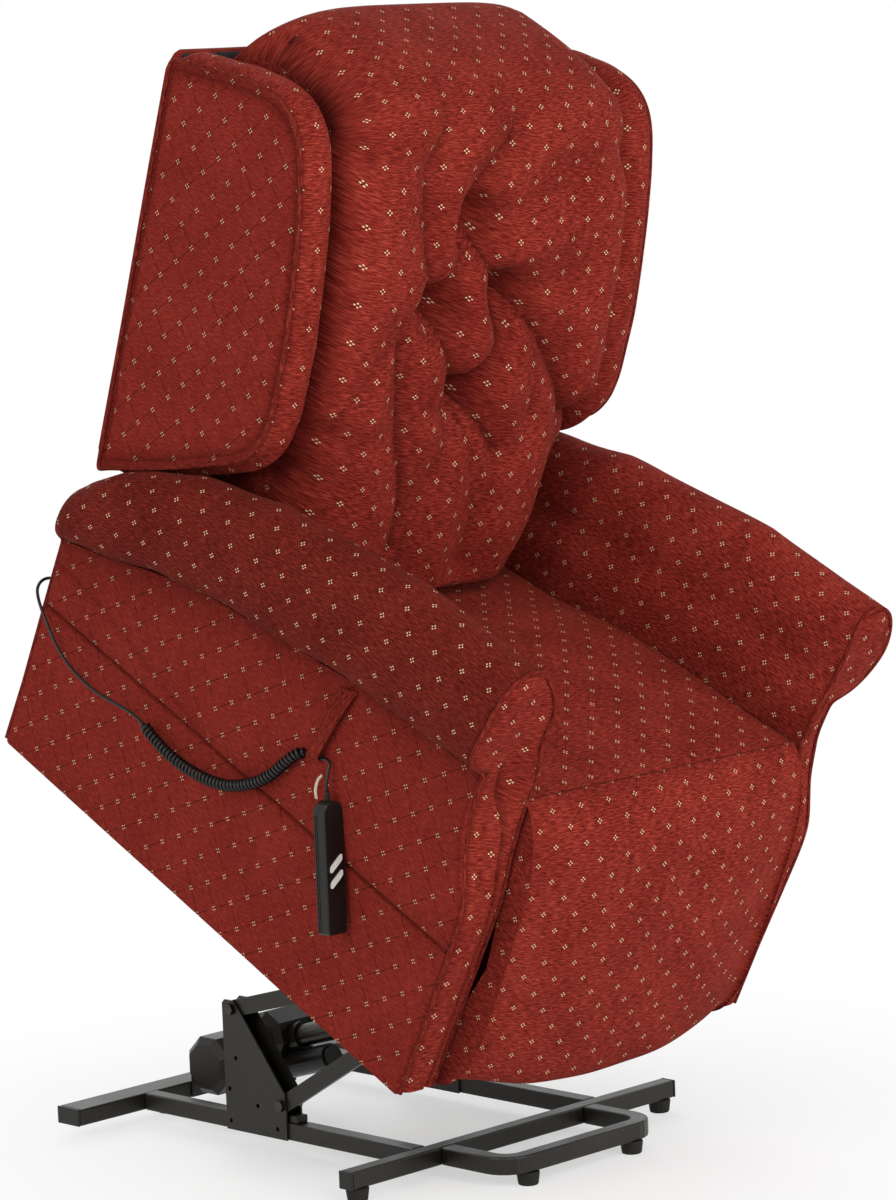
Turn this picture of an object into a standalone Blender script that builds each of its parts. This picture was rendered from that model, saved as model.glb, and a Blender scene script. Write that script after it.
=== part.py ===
# Lift recliner chair, modelled in its raised pose.
# Metres, +Z up. The chair faces -Y and -X is the sitter's right.
import math

import bmesh
import bpy
import numpy as np
from mathutils import Matrix, Vector

# Gaps between pieces
SEAT_GAP = 0.0003
RUNNING_GAP = 0.0005

# How far a drill or a fused helper runs past the face that it meets
DRILL_PAST = 0.01
OVERLAP = 0.001

# Frame: the base is modelled about the middle of its own footprint and then moved by this much
SHIFT_Y = 0.057

# Base
TUBE = 0.025
REAR_BAR_DEPTH = 0.046
TUBE_EDGE = 0.0025
FOOT_HEIGHT = 0.019
FRONT_BAR_HALF = 0.325
REAR_BAR_HALF = 0.310
FRONT_BAR_Y = -0.182
REAR_BAR_Y = 0.404
RAIL_X = 0.1715
CAP_THICKNESS = 0.0035
CAP_EDGE = 0.0012
LOOP_HALF = 0.1545
LOOP_DEPTH = 0.127
LOOP_BEND = 0.034
FOOT_RADIUS = 0.0165
FOOT_TAPER = 0.84
FOOT_EDGE = 0.002
FRONT_FOOT_X = 0.303
LOOP_FOOT_X = 0.104
REAR_FOOT_X = 0.120

# Side brackets and the lift linkage, as (y, z) in the base frame
PLATE = 0.003
BRACKET_REAR = 0.201
BRACKET_FRONT = 0.0775
BRACKET_TOP = 0.2065
UPPER_PIVOT = np.array([0.1835, 0.194])
LOWER_PIVOT = np.array([0.0877, 0.068])
BRACKET_HOLES = ((0.177, 0.124), (0.192, 0.078), (0.135, 0.061), (0.192, 0.032), (0.096, 0.033))
BRACKET_HOLE_RADIUS = 0.0034
BRACKET_STEP = 0.052
BRACKET_SLOPE_FOOT = (0.079, 0.085)
BRACKET_CORNER = 0.005
LINK_WIDTH = 0.024
LINK_THICKNESS = 0.008
PIVOT_RADIUS = 0.005
BOLT_HEAD_RADIUS = 0.0085
BOLT_HEAD = 0.005
BOLT_TIP = 0.0065
CRANK_REACH = 0.300
CRANK_DROP = 0.060
CRANK_ROOT = 0.230
CRANK_END = 0.345
CRANK_EYE_RADIUS = 0.021
CLEVIS_REACH = 0.036
CLEVIS_WIDTH = 0.026
TORQUE_TUBE_RADIUS = 0.0125
CARRIAGE_X = 0.166
CARRIAGE_PLATE = 0.004
CARRIAGE_EYE_RADIUS = 0.020
CARRIAGE_REAR = 0.470
SPACER_RADIUS = 0.0095
RAIL_BOLTS = ((0.20, 0.24), (0.40, 0.24))
RAIL_BOLT_RADIUS = 0.0075
OPEN_PIVOT_CLEARANCE = 0.0068
STOP_LENGTH = 0.016
STOP_HEIGHT = 0.0105
STOP_EDGE = 0.0015

# Chair pose: turned forward by TILT about X, with the front lower corner of its sides at CHAIR_CORNER
TILT = math.radians(27.95)
CHAIR_CORNER = np.array([-0.3026, 0.1665])
LOWERED_CORNER = np.array([-0.375, 0.055])
UPPER_LINK_RISE = math.radians(15.2)
LOWER_LINK_RISE = math.radians(30.6)

# Lift actuator and power unit
ACTUATOR_X = 0.035
ACTUATOR_PIVOT = np.array([0.400, 0.066])
REAR_LUG_HALF = 0.008
REAR_LUG_WIDTH = 0.022
HOUSING_AT = 0.086
HOUSING_LIFT = 0.010
HOUSING_ACROSS = 0.074
HOUSING_LENGTH = 0.084
HOUSING_COLLAR = 0.012
HOUSING_END = HOUSING_AT + HOUSING_ACROSS / 2 + HOUSING_COLLAR
COLLAR_WALL = 0.005
CHAMFER = 0.009
CHAMFER_SHARE = 0.78
MOTOR_X = 0.028
MOTOR_DROP = 0.038
MOTOR_RADIUS = 0.0195
MOTOR_END = 0.195
MOTOR_NOSE_STEP = 0.004
MOTOR_NOSE_LENGTH = 0.006
OUTER_TUBE_RADIUS = 0.0165
OUTER_TUBE_END = 0.360
TUBE_START = HOUSING_END - 0.024
ROD_RADIUS = 0.010
ROD_START = 0.170
ROD_EYE_HALF = 0.009
ROD_EYE_RADIUS = 0.017
ROD_EYE_NECK = 0.0145
ACTUATOR_PIN_RADIUS = 0.006
ACTUATOR_EYE_CLEARANCE = 0.0028
EAR = 0.004
EAR_RADIUS = 0.012
EAR_FLANGE = 0.012
EAR_PLATE_HALF = 0.019
POWER_UNIT_X = (-0.105, -0.020)
POWER_UNIT_HEIGHT = 0.0735
POWER_UNIT_ACROSS = 0.083
POWER_PLATE_HALF = 0.030
INLET_RIM = (0.015, 0.012)
INLET_WELL = (0.012, 0.009)
INLET_DEPTH = 0.010

# Chair body, in the chair frame: x across, y back from the front of the sides, z up from their lower edge
SIDE_DEPTH = 0.876
ARM_INNER = 0.2703
PANEL_FOOT = 0.338
PANEL_WAIST = 0.345
ROLL_X = 0.340
ROLL_HALF_WIDTH = 0.057
ROLL_TAPER_START = 0.80
ARM_FACE_EASE = 0.12
ARM_FACE_EDGE = 0.006
ARM_STATIONS = (0.0, 0.004, 0.02, 0.06, 0.12, 0.25, 0.38, 0.50, 0.60, 0.68, 0.74, 0.79, 0.83, 0.858, 0.872)
SEAM_HEIGHT = 0.232
SEAT_HALF = 0.268
SEAT_REAR = 0.610
SEAT_FRONT_TOP = 0.440
SEAT_REAR_TOP = 0.384
SEAT_CROWN = 0.014
DECK_TOP = 0.2997
DECK = 0.0245
DECK_FRONT = 0.100
DECK_REAR = 0.640
RAIL_BOARD = 0.024
RAIL_BOARD_FOOT = 0.165
LEGREST_LUG = (0.216, 0.222)
LEGREST_PIN = (0.2175, 0.2345)
LEGREST_LUG_RADIUS = 0.011
PIVOT_ROOM = (0.205, 0.240)
PIVOT_ROOM_RADIUS = 0.016
BOARD_LUG = (0.224, 0.230)
BOARD_LUG_RADIUS = 0.012
BOARD_HALF = 0.250
BOARD_FOOT = 0.012
RECLINE_CHEEK = 0.005
RECLINE_CHEEK_RADIUS = 0.024
RECLINE_PIN = 0.020
LEGREST_PIVOT = np.array([0.030, 0.355])
LEGREST_RADIUS = 0.085
LEGREST_HALF = 0.268
LEGREST_BULGE = 0.022
LEGREST_BOARD = 0.012
HINGE_PIN_RADIUS = 0.006
RECLINE_PIVOT = np.array([0.620, 0.140])
RECLINE_PIN_RADIUS = 0.008
BACK_LEAN = math.radians(9.3)
BACK_KNEE = 0.440
BACK_REAR = 0.872
BACK_FRAME = 0.022
BACK_FRAME_TOP = 0.99
BACK_FRAME_FOOT = 0.15
BACK_FRAME_HALF = 0.235
HINGE_ARM = (0.245, 0.260)
HINGE_TIE = (0.230, 0.248)
OUTER_BACK = 0.020
OUTER_BACK_FOOT = 0.120
OUTER_BACK_HALF = 0.262
OUTER_BACK_WIDE = 0.330
OUTER_BACK_STEP = 0.480
OUTER_BACK_TOP = 1.045
WING_OUTER = 0.338
WING_THICKNESS = 0.062
WING_SECTION = ((0.0, 0.0), (0.004, 0.006), (0.022, 0.012), (0.046, 0.012), (0.062, 0.006), (0.062, 0.0))
WING_REAR_LEVELS = (1.042, 0.76, 0.49)
CUSHION_BOTTOM = 0.408
CUSHION_TOP = 1.156

# Control box: half width, front, rear and height
CONTROL_BOX = (0.085, 0.46, 0.57, 0.044)
SOCKETS_X = (-0.045, 0.0, 0.045)

# Handset and its cord, in the chair frame for the cord and about its own top for the handset
CORD_DIAMETER = 0.0036
CURL_COUNT = 48
CURL_POINTS = 8
CURL_DIAMETER = 0.0116
HANDSET_WIDTH = 0.035
HANDSET_DEPTH = 0.022
HANDSET_LENGTH = 0.178
HANDSET_X = -0.3655
BUTTON_TRAVEL = 0.0015
BUTTON_STAND = 0.0022
BUTTON_HALF_LENGTH = 0.0105
BUTTON_HALF_HEIGHT = 0.0046
BUTTON_CORNER = 0.0028
BUTTON_SLANT = math.radians(38)
BUTTON_POCKET = 0.0055
BUTTON_GAP = 0.0004
BUTTON_DROPS = (("up_button", 0.083), ("down_button", 0.104))
SHELL_SPLIT = 0.001
SHELL_CROWN = 0.014
SHELL_EDGE = 0.003
SHELL_ROUND = 0.0015
GRIP_GROOVES = (0.0035, 0.0066)
GRIP_GROOVE_DEPTH = 0.0009
GRIP_GROOVE_HALF = 0.0006
LEAD_DROP = 0.040
STRAIN_RELIEF_LENGTH = 0.012

SIDES = ((-1, "left"), (1, "right"))


def clear_scene():
    for obj in list(bpy.data.objects):
        bpy.data.objects.remove(obj, do_unlink=True)


def make_material(name, color, roughness, metallic=0.0):
    material = bpy.data.materials.new(name)
    material.use_nodes = True
    shader = material.node_tree.nodes["Principled BSDF"]
    shader.inputs["Base Color"].default_value = (*color, 1.0)
    shader.inputs["Roughness"].default_value = roughness
    shader.inputs["Metallic"].default_value = metallic
    return material


clear_scene()
BLACK_PAINT = make_material("black_paint", (0.035, 0.033, 0.030), 0.38, 0.3)
BLACK_PLASTIC = make_material("black_plastic", (0.022, 0.022, 0.022), 0.5)
RUBBER = make_material("rubber", (0.02, 0.02, 0.02), 0.8)
STEEL = make_material("steel", (0.55, 0.55, 0.54), 0.3, 1.0)
FABRIC = make_material("red_fabric", (0.33, 0.035, 0.022), 0.9)
PLYWOOD = make_material("plywood", (0.55, 0.38, 0.22), 0.7)
WHITE_PLASTIC = make_material("white_plastic", (0.78, 0.77, 0.72), 0.45)


def empty(name, location=(0, 0, 0), parent=None, tilt=0.0):
    holder = bpy.data.objects.new(name, None)
    bpy.context.scene.collection.objects.link(holder)
    holder.parent = parent
    holder.location = location
    holder.rotation_euler = (tilt, 0, 0)
    return holder


BASE = empty("base_origin", (0, SHIFT_Y, 0))
CHAIR = empty("chair_origin", (0, SHIFT_Y + CHAIR_CORNER[0], CHAIR_CORNER[1]), tilt=TILT)


def turned(point, angle):
    """A (y, z) point turned about X."""
    c, s = math.cos(angle), math.sin(angle)
    return np.array([c * point[0] - s * point[1], s * point[0] + c * point[1]])


def to_base(point):
    """A (y, z) point of the chair frame, in the base frame at rest."""
    return CHAIR_CORNER + turned(point, TILT)


def to_chair(point):
    return turned(np.asarray(point) - CHAIR_CORNER, -TILT)


def chair_end(pivot, rise):
    """Where a link from this pivot meets the carriage, so that it has one length raised and lowered."""
    raised = to_chair(pivot)
    lowered = pivot - LOWERED_CORNER
    along = turned(np.array([-math.cos(rise), math.sin(rise)]), -TILT)
    step = raised - lowered
    length = -(step @ step) / (2 * (step @ along))
    return raised + length * along, length


UPPER_END, UPPER_LENGTH = chair_end(UPPER_PIVOT, UPPER_LINK_RISE)
LOWER_END, LOWER_LENGTH = chair_end(LOWER_PIVOT, LOWER_LINK_RISE)


def angle_of(vector):
    return math.atan2(vector[1], vector[0]) % (2 * math.pi)


def link_turn(pivot, end):
    """The angle that a link turns through about X, from raised to lowered."""
    return angle_of(LOWERED_CORNER + end - pivot) - angle_of(to_base(end) - pivot)


UPPER_TURN = link_turn(UPPER_PIVOT, UPPER_END)
LOWER_TURN = link_turn(LOWER_PIVOT, LOWER_END)


def on_upper_link(reach, drop, turn=0.0):
    """A point of the upper link: reach along it from its base pivot, and drop below it."""
    along = turned(np.array([-math.cos(UPPER_LINK_RISE), math.sin(UPPER_LINK_RISE)]), turn)
    down = np.array([-along[1], along[0]])
    return UPPER_PIVOT + reach * along + drop * down


CRANK_POINT = on_upper_link(CRANK_REACH, CRANK_DROP)


def finish(bm, name, material, parent, smooth=True, keep=False):
    bmesh.ops.recalc_face_normals(bm, faces=bm.faces)
    mesh = bpy.data.meshes.new(name)
    bm.to_mesh(mesh)
    bm.free()
    mesh.materials.append(material)
    obj = bpy.data.objects.new(name, mesh)
    bpy.context.scene.collection.objects.link(obj)
    obj.parent = parent
    if smooth:
        mesh.shade_smooth()
        mesh.set_sharp_from_angle(angle=math.radians(32))
    if keep:
        obj.hide_render = True
        obj.display_type = "WIRE"
    return obj


def set_origin(obj, point):
    """Moves an object's origin to this point of its parent's frame, leaving its shape where it is."""
    obj.data.transform(Matrix.Translation(-Vector(point)))
    obj.location = point
    return obj


def bevel(obj, width, segments=2, angle=32):
    modifier = obj.modifiers.new("edges", "BEVEL")
    modifier.width = width
    modifier.segments = segments
    modifier.limit_method = "ANGLE"
    modifier.angle_limit = math.radians(angle)
    modifier.harden_normals = False
    return obj


def cut(obj, cutter, operation="DIFFERENCE"):
    modifier = obj.modifiers.new("cut_" + cutter.name, "BOOLEAN")
    modifier.operation = operation
    modifier.object = cutter
    modifier.solver = "EXACT"
    return obj


def fuse(obj, *others):
    for other in others:
        other.hide_render = True
        other.display_type = "WIRE"
        cut(obj, other, "UNION")
    return obj


def box(name, lo, hi, material, parent, edge=0.0, keep=False):
    bm = bmesh.new()
    bmesh.ops.create_cube(bm, size=1.0)
    size = np.subtract(hi, lo)
    bmesh.ops.scale(bm, vec=Vector(size), verts=bm.verts)
    bmesh.ops.translate(bm, vec=Vector(np.add(lo, hi) / 2), verts=bm.verts)
    obj = finish(bm, name, material, parent, smooth=edge > 0, keep=keep)
    return bevel(obj, edge) if edge else obj


def plate(name, outline, x0, x1, material, parent, edge=0.0, keep=False):
    """A flat piece: an outline of (y, z) points, extruded from x0 to x1."""
    bm = bmesh.new()
    corners = [bm.verts.new((x0, y, z)) for y, z in outline]
    face = bm.faces.new(corners)
    grown = bmesh.ops.extrude_face_region(bm, geom=[face])
    moved = [item for item in grown["geom"] if isinstance(item, bmesh.types.BMVert)]
    bmesh.ops.translate(bm, vec=Vector((x1 - x0, 0, 0)), verts=moved)
    obj = finish(bm, name, material, parent, smooth=edge > 0, keep=keep)
    return bevel(obj, edge) if edge else obj


def round_piece(name, placement, radius1, radius2, length, material, parent, segments=20, keep=False):
    """A cone or cylinder whose own Z axis and middle this matrix places."""
    bm = bmesh.new()
    bmesh.ops.create_cone(
        bm,
        cap_ends=True,
        segments=segments,
        radius1=radius1,
        radius2=radius2,
        depth=length,
        matrix=placement,
    )
    return finish(bm, name, material, parent, keep=keep)


def cylinder_x(name, center, radius, x0, x1, material, parent, segments=20, keep=False):
    """A round piece along X about the (y, z) center."""
    middle = Matrix.Translation(((x0 + x1) / 2, center[0], center[1]))
    turn = middle @ Matrix.Rotation(math.pi / 2, 4, "Y")
    return round_piece(name, turn, radius, radius, x1 - x0, material, parent, segments, keep)


def arc(center, radius, start, stop, steps):
    angles = np.radians(np.linspace(start, stop, steps + 1))
    return [(center[0] + radius * math.cos(a), center[1] + radius * math.sin(a)) for a in angles]


def bar_outline(a, b, width, steps=7):
    """The outline of a flat bar from a to b, with round ends about both."""
    heading = math.degrees(angle_of(np.subtract(b, a)))
    first = arc(a, width / 2, heading + 90, heading + 270, steps)
    return first + arc(b, width / 2, heading - 90, heading + 90, steps)


def loft(name, rings, material, parent, keep=False):
    """A closed solid through rings of equal count, each an array of (x, y, z) points, with flat ends."""
    bm = bmesh.new()
    loops = [[bm.verts.new(Vector(point)) for point in ring] for ring in rings]
    count = len(loops[0])
    for near, far in zip(loops[:-1], loops[1:]):
        for i in range(count):
            j = (i + 1) % count
            bm.faces.new((near[i], near[j], far[j], far[i]))
    bm.faces.new(loops[0][::-1])
    bm.faces.new(loops[-1])
    return finish(bm, name, material, parent, keep=keep)


def span_of(side, near, far):
    """The x span between two distances from the middle, on this side."""
    return sorted((side * near, side * far))


def past(span):
    """The x span of a drill that runs past both ends of this one."""
    return span[0] - DRILL_PAST, span[1] + DRILL_PAST


def helper_box(name, lo, hi, parent):
    return box(name, lo, hi, BLACK_PAINT, parent, keep=True)


def helper_plate(name, outline, span, parent):
    return plate(name, outline, *span, BLACK_PAINT, parent, keep=True)


def helper_rod(name, center, radius, span, parent, segments=16):
    return cylinder_x(name, center, radius, *span, BLACK_PAINT, parent, segments, keep=True)


def drill(obj, name, center, radius, span, parent, segments=20):
    return cut(obj, helper_rod(name, center, radius, span, parent, segments))


# Base


def build_tubes():
    top = FOOT_HEIGHT + TUBE
    half = TUBE / 2
    rear_half = REAR_BAR_DEPTH / 2
    cap = CAP_THICKNESS + SEAT_GAP
    box(
        "front_crossbar",
        (-FRONT_BAR_HALF + cap, FRONT_BAR_Y - half, FOOT_HEIGHT),
        (FRONT_BAR_HALF - cap, FRONT_BAR_Y + half, top),
        BLACK_PAINT,
        BASE,
        TUBE_EDGE,
    )
    box(
        "rear_crossbar",
        (-REAR_BAR_HALF + cap, REAR_BAR_Y - rear_half, FOOT_HEIGHT),
        (REAR_BAR_HALF - cap, REAR_BAR_Y + rear_half, top),
        BLACK_PAINT,
        BASE,
        TUBE_EDGE,
    )
    rail_ends = (FRONT_BAR_Y + half + SEAT_GAP, REAR_BAR_Y - rear_half - SEAT_GAP)
    for side, name in SIDES:
        box(
            name + "_rail",
            (side * RAIL_X - half, rail_ends[0], FOOT_HEIGHT),
            (side * RAIL_X + half, rail_ends[1], top),
            BLACK_PAINT,
            BASE,
            TUBE_EDGE,
        )
        build_cap(name, side, "front", FRONT_BAR_HALF, FRONT_BAR_Y, half)
        build_cap(name, side, "rear", REAR_BAR_HALF, REAR_BAR_Y, rear_half)


def build_cap(side_name, side, bar_name, bar_half, bar_y, depth_half):
    outer = side * bar_half
    inner = side * (bar_half - CAP_THICKNESS)
    low, high = sorted((outer, inner))
    box(
        f"{bar_name}_{side_name}_cap",
        (low, bar_y - depth_half, FOOT_HEIGHT),
        (high, bar_y + depth_half, FOOT_HEIGHT + TUBE),
        BLACK_PLASTIC,
        BASE,
        CAP_EDGE,
    )


def build_toe_loop():
    """A square tube bent into a U, welded to the front of the front crossbar."""
    middle = TUBE / 2
    start_y = FRONT_BAR_Y - middle - SEAT_GAP
    front_y = FRONT_BAR_Y - middle - LOOP_DEPTH + middle
    side_x = LOOP_HALF - middle
    path = [(-side_x, start_y, -90.0)]
    for turn in np.linspace(0, 90, 7):
        a = math.radians(turn)
        corner = (-side_x + LOOP_BEND * (1 - math.cos(a)), front_y + LOOP_BEND * (1 - math.sin(a)))
        path.append((*corner, turn - 90))
    mirrored = [(-x, y, -heading) for x, y, heading in path[::-1]]
    rings = []
    for x, y, heading in path + mirrored:
        across = (-math.sin(math.radians(heading)), math.cos(math.radians(heading)))
        ring = []
        for side, lift in ((-1, 0), (1, 0), (1, 1), (-1, 1)):
            offset = side * middle
            ring.append((x + across[0] * offset, y + across[1] * offset, FOOT_HEIGHT + lift * TUBE))
        rings.append(ring)
    bevel(loft("toe_loop", rings, BLACK_PAINT, BASE), TUBE_EDGE, angle=50)


def build_feet():
    places = {
        "front_left_foot": (-FRONT_FOOT_X, FRONT_BAR_Y),
        "front_right_foot": (FRONT_FOOT_X, FRONT_BAR_Y),
        "loop_left_foot": (-LOOP_FOOT_X, FRONT_BAR_Y - LOOP_DEPTH),
        "loop_right_foot": (LOOP_FOOT_X, FRONT_BAR_Y - LOOP_DEPTH),
        "rear_left_foot": (-REAR_FOOT_X, REAR_BAR_Y),
        "rear_right_foot": (REAR_FOOT_X, REAR_BAR_Y),
    }
    for name, (x, y) in places.items():
        height = FOOT_HEIGHT - SEAT_GAP
        middle = Matrix.Translation((x, y, height / 2))
        foot = round_piece(name, middle, FOOT_RADIUS * FOOT_TAPER, FOOT_RADIUS, height, RUBBER, BASE)
        bevel(foot, FOOT_EDGE)


def bracket_outline():
    """A plate whose front edge steps in low down and then slopes back to the upper pivot."""
    slope_head = (UPPER_PIVOT[0] - 0.0105, BRACKET_TOP - 0.004)
    return [
        (BRACKET_REAR, FOOT_HEIGHT),
        (BRACKET_FRONT, FOOT_HEIGHT),
        (BRACKET_FRONT, BRACKET_STEP),
        BRACKET_SLOPE_FOOT,
        slope_head,
        (UPPER_PIVOT[0] - 0.004, BRACKET_TOP),
        (BRACKET_REAR - BRACKET_CORNER, BRACKET_TOP),
        (BRACKET_REAR, BRACKET_TOP - BRACKET_CORNER),
    ]


def bracket_web():
    """The channel's rear wall, from the rail up to the corner of the plates."""
    low = FOOT_HEIGHT + TUBE + SEAT_GAP
    high = BRACKET_TOP - BRACKET_CORNER - OVERLAP
    return [
        (BRACKET_REAR - PLATE, low),
        (BRACKET_REAR, low),
        (BRACKET_REAR, high),
        (BRACKET_REAR - PLATE, high),
    ]


def build_side_brackets():
    """Pressed channels over the rails: two plates and a rear web, with the links between the plates."""
    outer_face, inner_face = bracket_span()
    for side, name in SIDES:
        span = span_of(side, outer_face - PLATE, outer_face)
        inner_span = span_of(side, inner_face, inner_face + PLATE)
        web_span = span_of(side, inner_face + PLATE / 2, outer_face - PLATE / 2)
        bracket = plate(name + "_side_bracket", bracket_outline(), *span, BLACK_PAINT, BASE)
        inner = helper_plate(name + "_inner_plate", bracket_outline(), inner_span, BASE)
        web = helper_plate(name + "_bracket_web", bracket_web(), web_span, BASE)
        fuse(bracket, inner, web)
        for i, center in enumerate(BRACKET_HOLES):
            one_plate = (span[0] - 0.004, span[1] + 0.004)
            drill(bracket, f"{name}_bracket_hole{i}", center, BRACKET_HOLE_RADIUS, one_plate, BASE, 12)
        through = past(span_of(side, inner_face, outer_face))
        for pivot, label in ((UPPER_PIVOT, "upper"), (LOWER_PIVOT, "lower")):
            drill(bracket, f"{name}_{label}_pivot_hole", pivot, PIVOT_RADIUS + SEAT_GAP, through, BASE)
            build_pivot_bolt(f"{name}_{label}_pivot_bolt", side, pivot)
        build_stop(name, side)


def bracket_span():
    """The x distances of a side bracket's outer face and its inner face."""
    half = TUBE / 2 + SEAT_GAP + PLATE
    return RAIL_X + half, RAIL_X - half


def link_span():
    """The x distances of a link's outer and inner face."""
    outer = RAIL_X + TUBE / 2 + SEAT_GAP - RUNNING_GAP
    return outer, outer - LINK_THICKNESS


def build_pivot_bolt(name, side, pivot):
    """A hexagon-headed bolt through both plates of the bracket and the link, with its nut inside."""
    outer_face, inner_face = bracket_span()
    head_face = outer_face + SEAT_GAP
    nut_face = inner_face - SEAT_GAP
    span = span_of(side, nut_face - BOLT_TIP, head_face + BOLT_HEAD / 2)
    bolt = cylinder_x(name, pivot, PIVOT_RADIUS, *span, BLACK_PAINT, BASE, 16)
    head_span = span_of(side, head_face, head_face + BOLT_HEAD)
    nut_span = span_of(side, nut_face, nut_face - BOLT_HEAD)
    head = helper_rod(name + "_head", pivot, BOLT_HEAD_RADIUS, head_span, BASE, 6)
    nut = helper_rod(name + "_nut", pivot, BOLT_HEAD_RADIUS, nut_span, BASE, 6)
    fuse(bolt, head, nut)


def build_stop(name, side):
    """A rubber block on the rail, under the lower link when the chair is down."""
    half = TUBE / 2 - 0.002
    low = FOOT_HEIGHT + TUBE + SEAT_GAP
    rear = BRACKET_FRONT - 2 * SEAT_GAP
    box(
        name + "_stop_block",
        (side * RAIL_X - half, rear - STOP_LENGTH, low),
        (side * RAIL_X + half, rear, low + STOP_HEIGHT),
        RUBBER,
        BASE,
        STOP_EDGE,
    )


# Lift linkage


def build_links():
    outer, inner = link_span()
    for side, name in SIDES:
        span = span_of(side, outer, inner)
        build_link(name + "_upper_link", UPPER_PIVOT, to_base(UPPER_END), span, drilled_end=True)
        lower_end = to_base(LOWER_END)
        lower = build_link(name + "_lower_link", LOWER_PIVOT, lower_end, span, drilled_end=False)
        # The stud at the open pivot stands on the link and runs through an eased hole in the carriage plate.
        stud_span = span_of(side, inner + 0.002, CARRIAGE_X - CARRIAGE_PLATE - 0.004)
        fuse(lower, helper_rod(name + "_open_stud", lower_end, PIVOT_RADIUS, stud_span, BASE))


def build_link(name, pivot, end, span, drilled_end):
    link = plate(name, bar_outline(pivot, end, LINK_WIDTH), *span, BLACK_PAINT, BASE)
    bore = PIVOT_RADIUS + SEAT_GAP
    drill(link, name + "_bore", pivot, bore, past(span), BASE)
    if drilled_end:
        drill(link, name + "_end_bore", end, bore, past(span), BASE)
    return set_origin(link, (0, *pivot))


def build_torque_tube():
    """A round tube between two crank plates, bolted to the inner faces of the upper links."""
    crank_outer = link_span()[1] - SEAT_GAP
    crank_inner = crank_outer - CARRIAGE_PLATE
    half_link = LINK_WIDTH / 2
    outline = [
        tuple(on_upper_link(CRANK_ROOT, half_link)),
        tuple(on_upper_link(CRANK_ROOT, -half_link)),
        tuple(on_upper_link(CRANK_END, -half_link)),
        tuple(on_upper_link(CRANK_END, half_link)),
    ]
    down = math.degrees(angle_of(on_upper_link(0, 1) - UPPER_PIVOT))
    outline += arc(CRANK_POINT, CRANK_EYE_RADIUS, down - 75, down + 75, 8)
    half = crank_inner + OVERLAP
    tube = cylinder_x("torque_tube", CRANK_POINT, TORQUE_TUBE_RADIUS, -half, half, BLACK_PAINT, BASE)
    for side, name in SIDES:
        fuse(tube, helper_plate(name + "_crank", outline, span_of(side, crank_inner, crank_outer), BASE))
    # Two clevis lugs carry the actuator's eye on a pin.
    lug_tip = crank_lug_tip()
    lug_line = bar_outline(CRANK_POINT, lug_tip, CLEVIS_WIDTH)
    reach = ROD_EYE_HALF + RUNNING_GAP
    for edge in (-1, 1):
        inner_face = ACTUATOR_X + edge * reach
        span = sorted((inner_face, inner_face + edge * EAR))
        fuse(tube, helper_plate(f"clevis_lug{edge}", lug_line, span, BASE))
    reach += EAR + 0.002
    pin_span = (ACTUATOR_X - reach, ACTUATOR_X + reach)
    fuse(tube, helper_rod("clevis_pin", lug_tip, ACTUATOR_PIN_RADIUS, pin_span, BASE))
    set_origin(tube, (0, *UPPER_PIVOT))


def crank_lug_tip():
    """The actuator's front pin, on the line from the torque tube towards the actuator's rear pivot."""
    heading = ACTUATOR_PIVOT - CRANK_POINT
    return CRANK_POINT + CLEVIS_REACH * heading / np.linalg.norm(heading)


DECK_FOOT = DECK_TOP - DECK - SEAT_GAP


def carriage_outline():
    """A plate from the seat frame's underside down to both link ends."""
    y, z = LOWER_END
    upper_y, upper_z = UPPER_END
    points = arc(LOWER_END, CARRIAGE_EYE_RADIUS, 180, 340, 7)
    points += [(upper_y + 0.030, upper_z + 0.010), (0.330, 0.150), (CARRIAGE_REAR, 0.176)]
    points += [(CARRIAGE_REAR, DECK_FOOT), (y - 0.045, DECK_FOOT), (y - 0.045, 0.180)]
    return points + [(upper_y - 0.024, upper_z)]


def build_carriage():
    """Side plates under the seat frame: a fixed stud for the upper link, an eased hole for the lower."""
    outer = CARRIAGE_X
    inner = CARRIAGE_X - CARRIAGE_PLATE
    link_outer, link_inner = link_span()
    for side, name in SIDES:
        span = span_of(side, inner, outer)
        carriage = plate(name + "_carriage_plate", carriage_outline(), *span, BLACK_PAINT, CHAIR)
        eased = PIVOT_RADIUS + OPEN_PIVOT_CLEARANCE
        drill(carriage, name + "_open_pivot_hole", LOWER_END, eased, past(span), CHAIR)
        shank_span = span_of(side, inner - 0.003, link_outer + 0.0002)
        stud = helper_rod(name + "_carriage_stud", UPPER_END, PIVOT_RADIUS, shank_span, CHAIR)
        spacer_span = span_of(side, outer - OVERLAP, link_inner - RUNNING_GAP)
        spacer = helper_rod(name + "_spacer", UPPER_END, SPACER_RADIUS, spacer_span, CHAIR)
        fuse(carriage, stud, spacer)
        head_span = span_of(side, inner - 0.004, inner + OVERLAP)
        for i, center in enumerate(RAIL_BOLTS):
            fuse(carriage, helper_rod(f"{name}_rail_bolt{i}", center, RAIL_BOLT_RADIUS, head_span, CHAIR, 6))


# Lift actuator and power unit


def actuator_heading():
    heading = crank_lug_tip() - ACTUATOR_PIVOT
    return heading / np.linalg.norm(heading)


def along_actuator(distance, lift=0.0):
    heading = actuator_heading()
    up = np.array([heading[1], -heading[0]])
    if up[1] < 0:
        up = -up
    return ACTUATOR_PIVOT + distance * heading + lift * up


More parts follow.
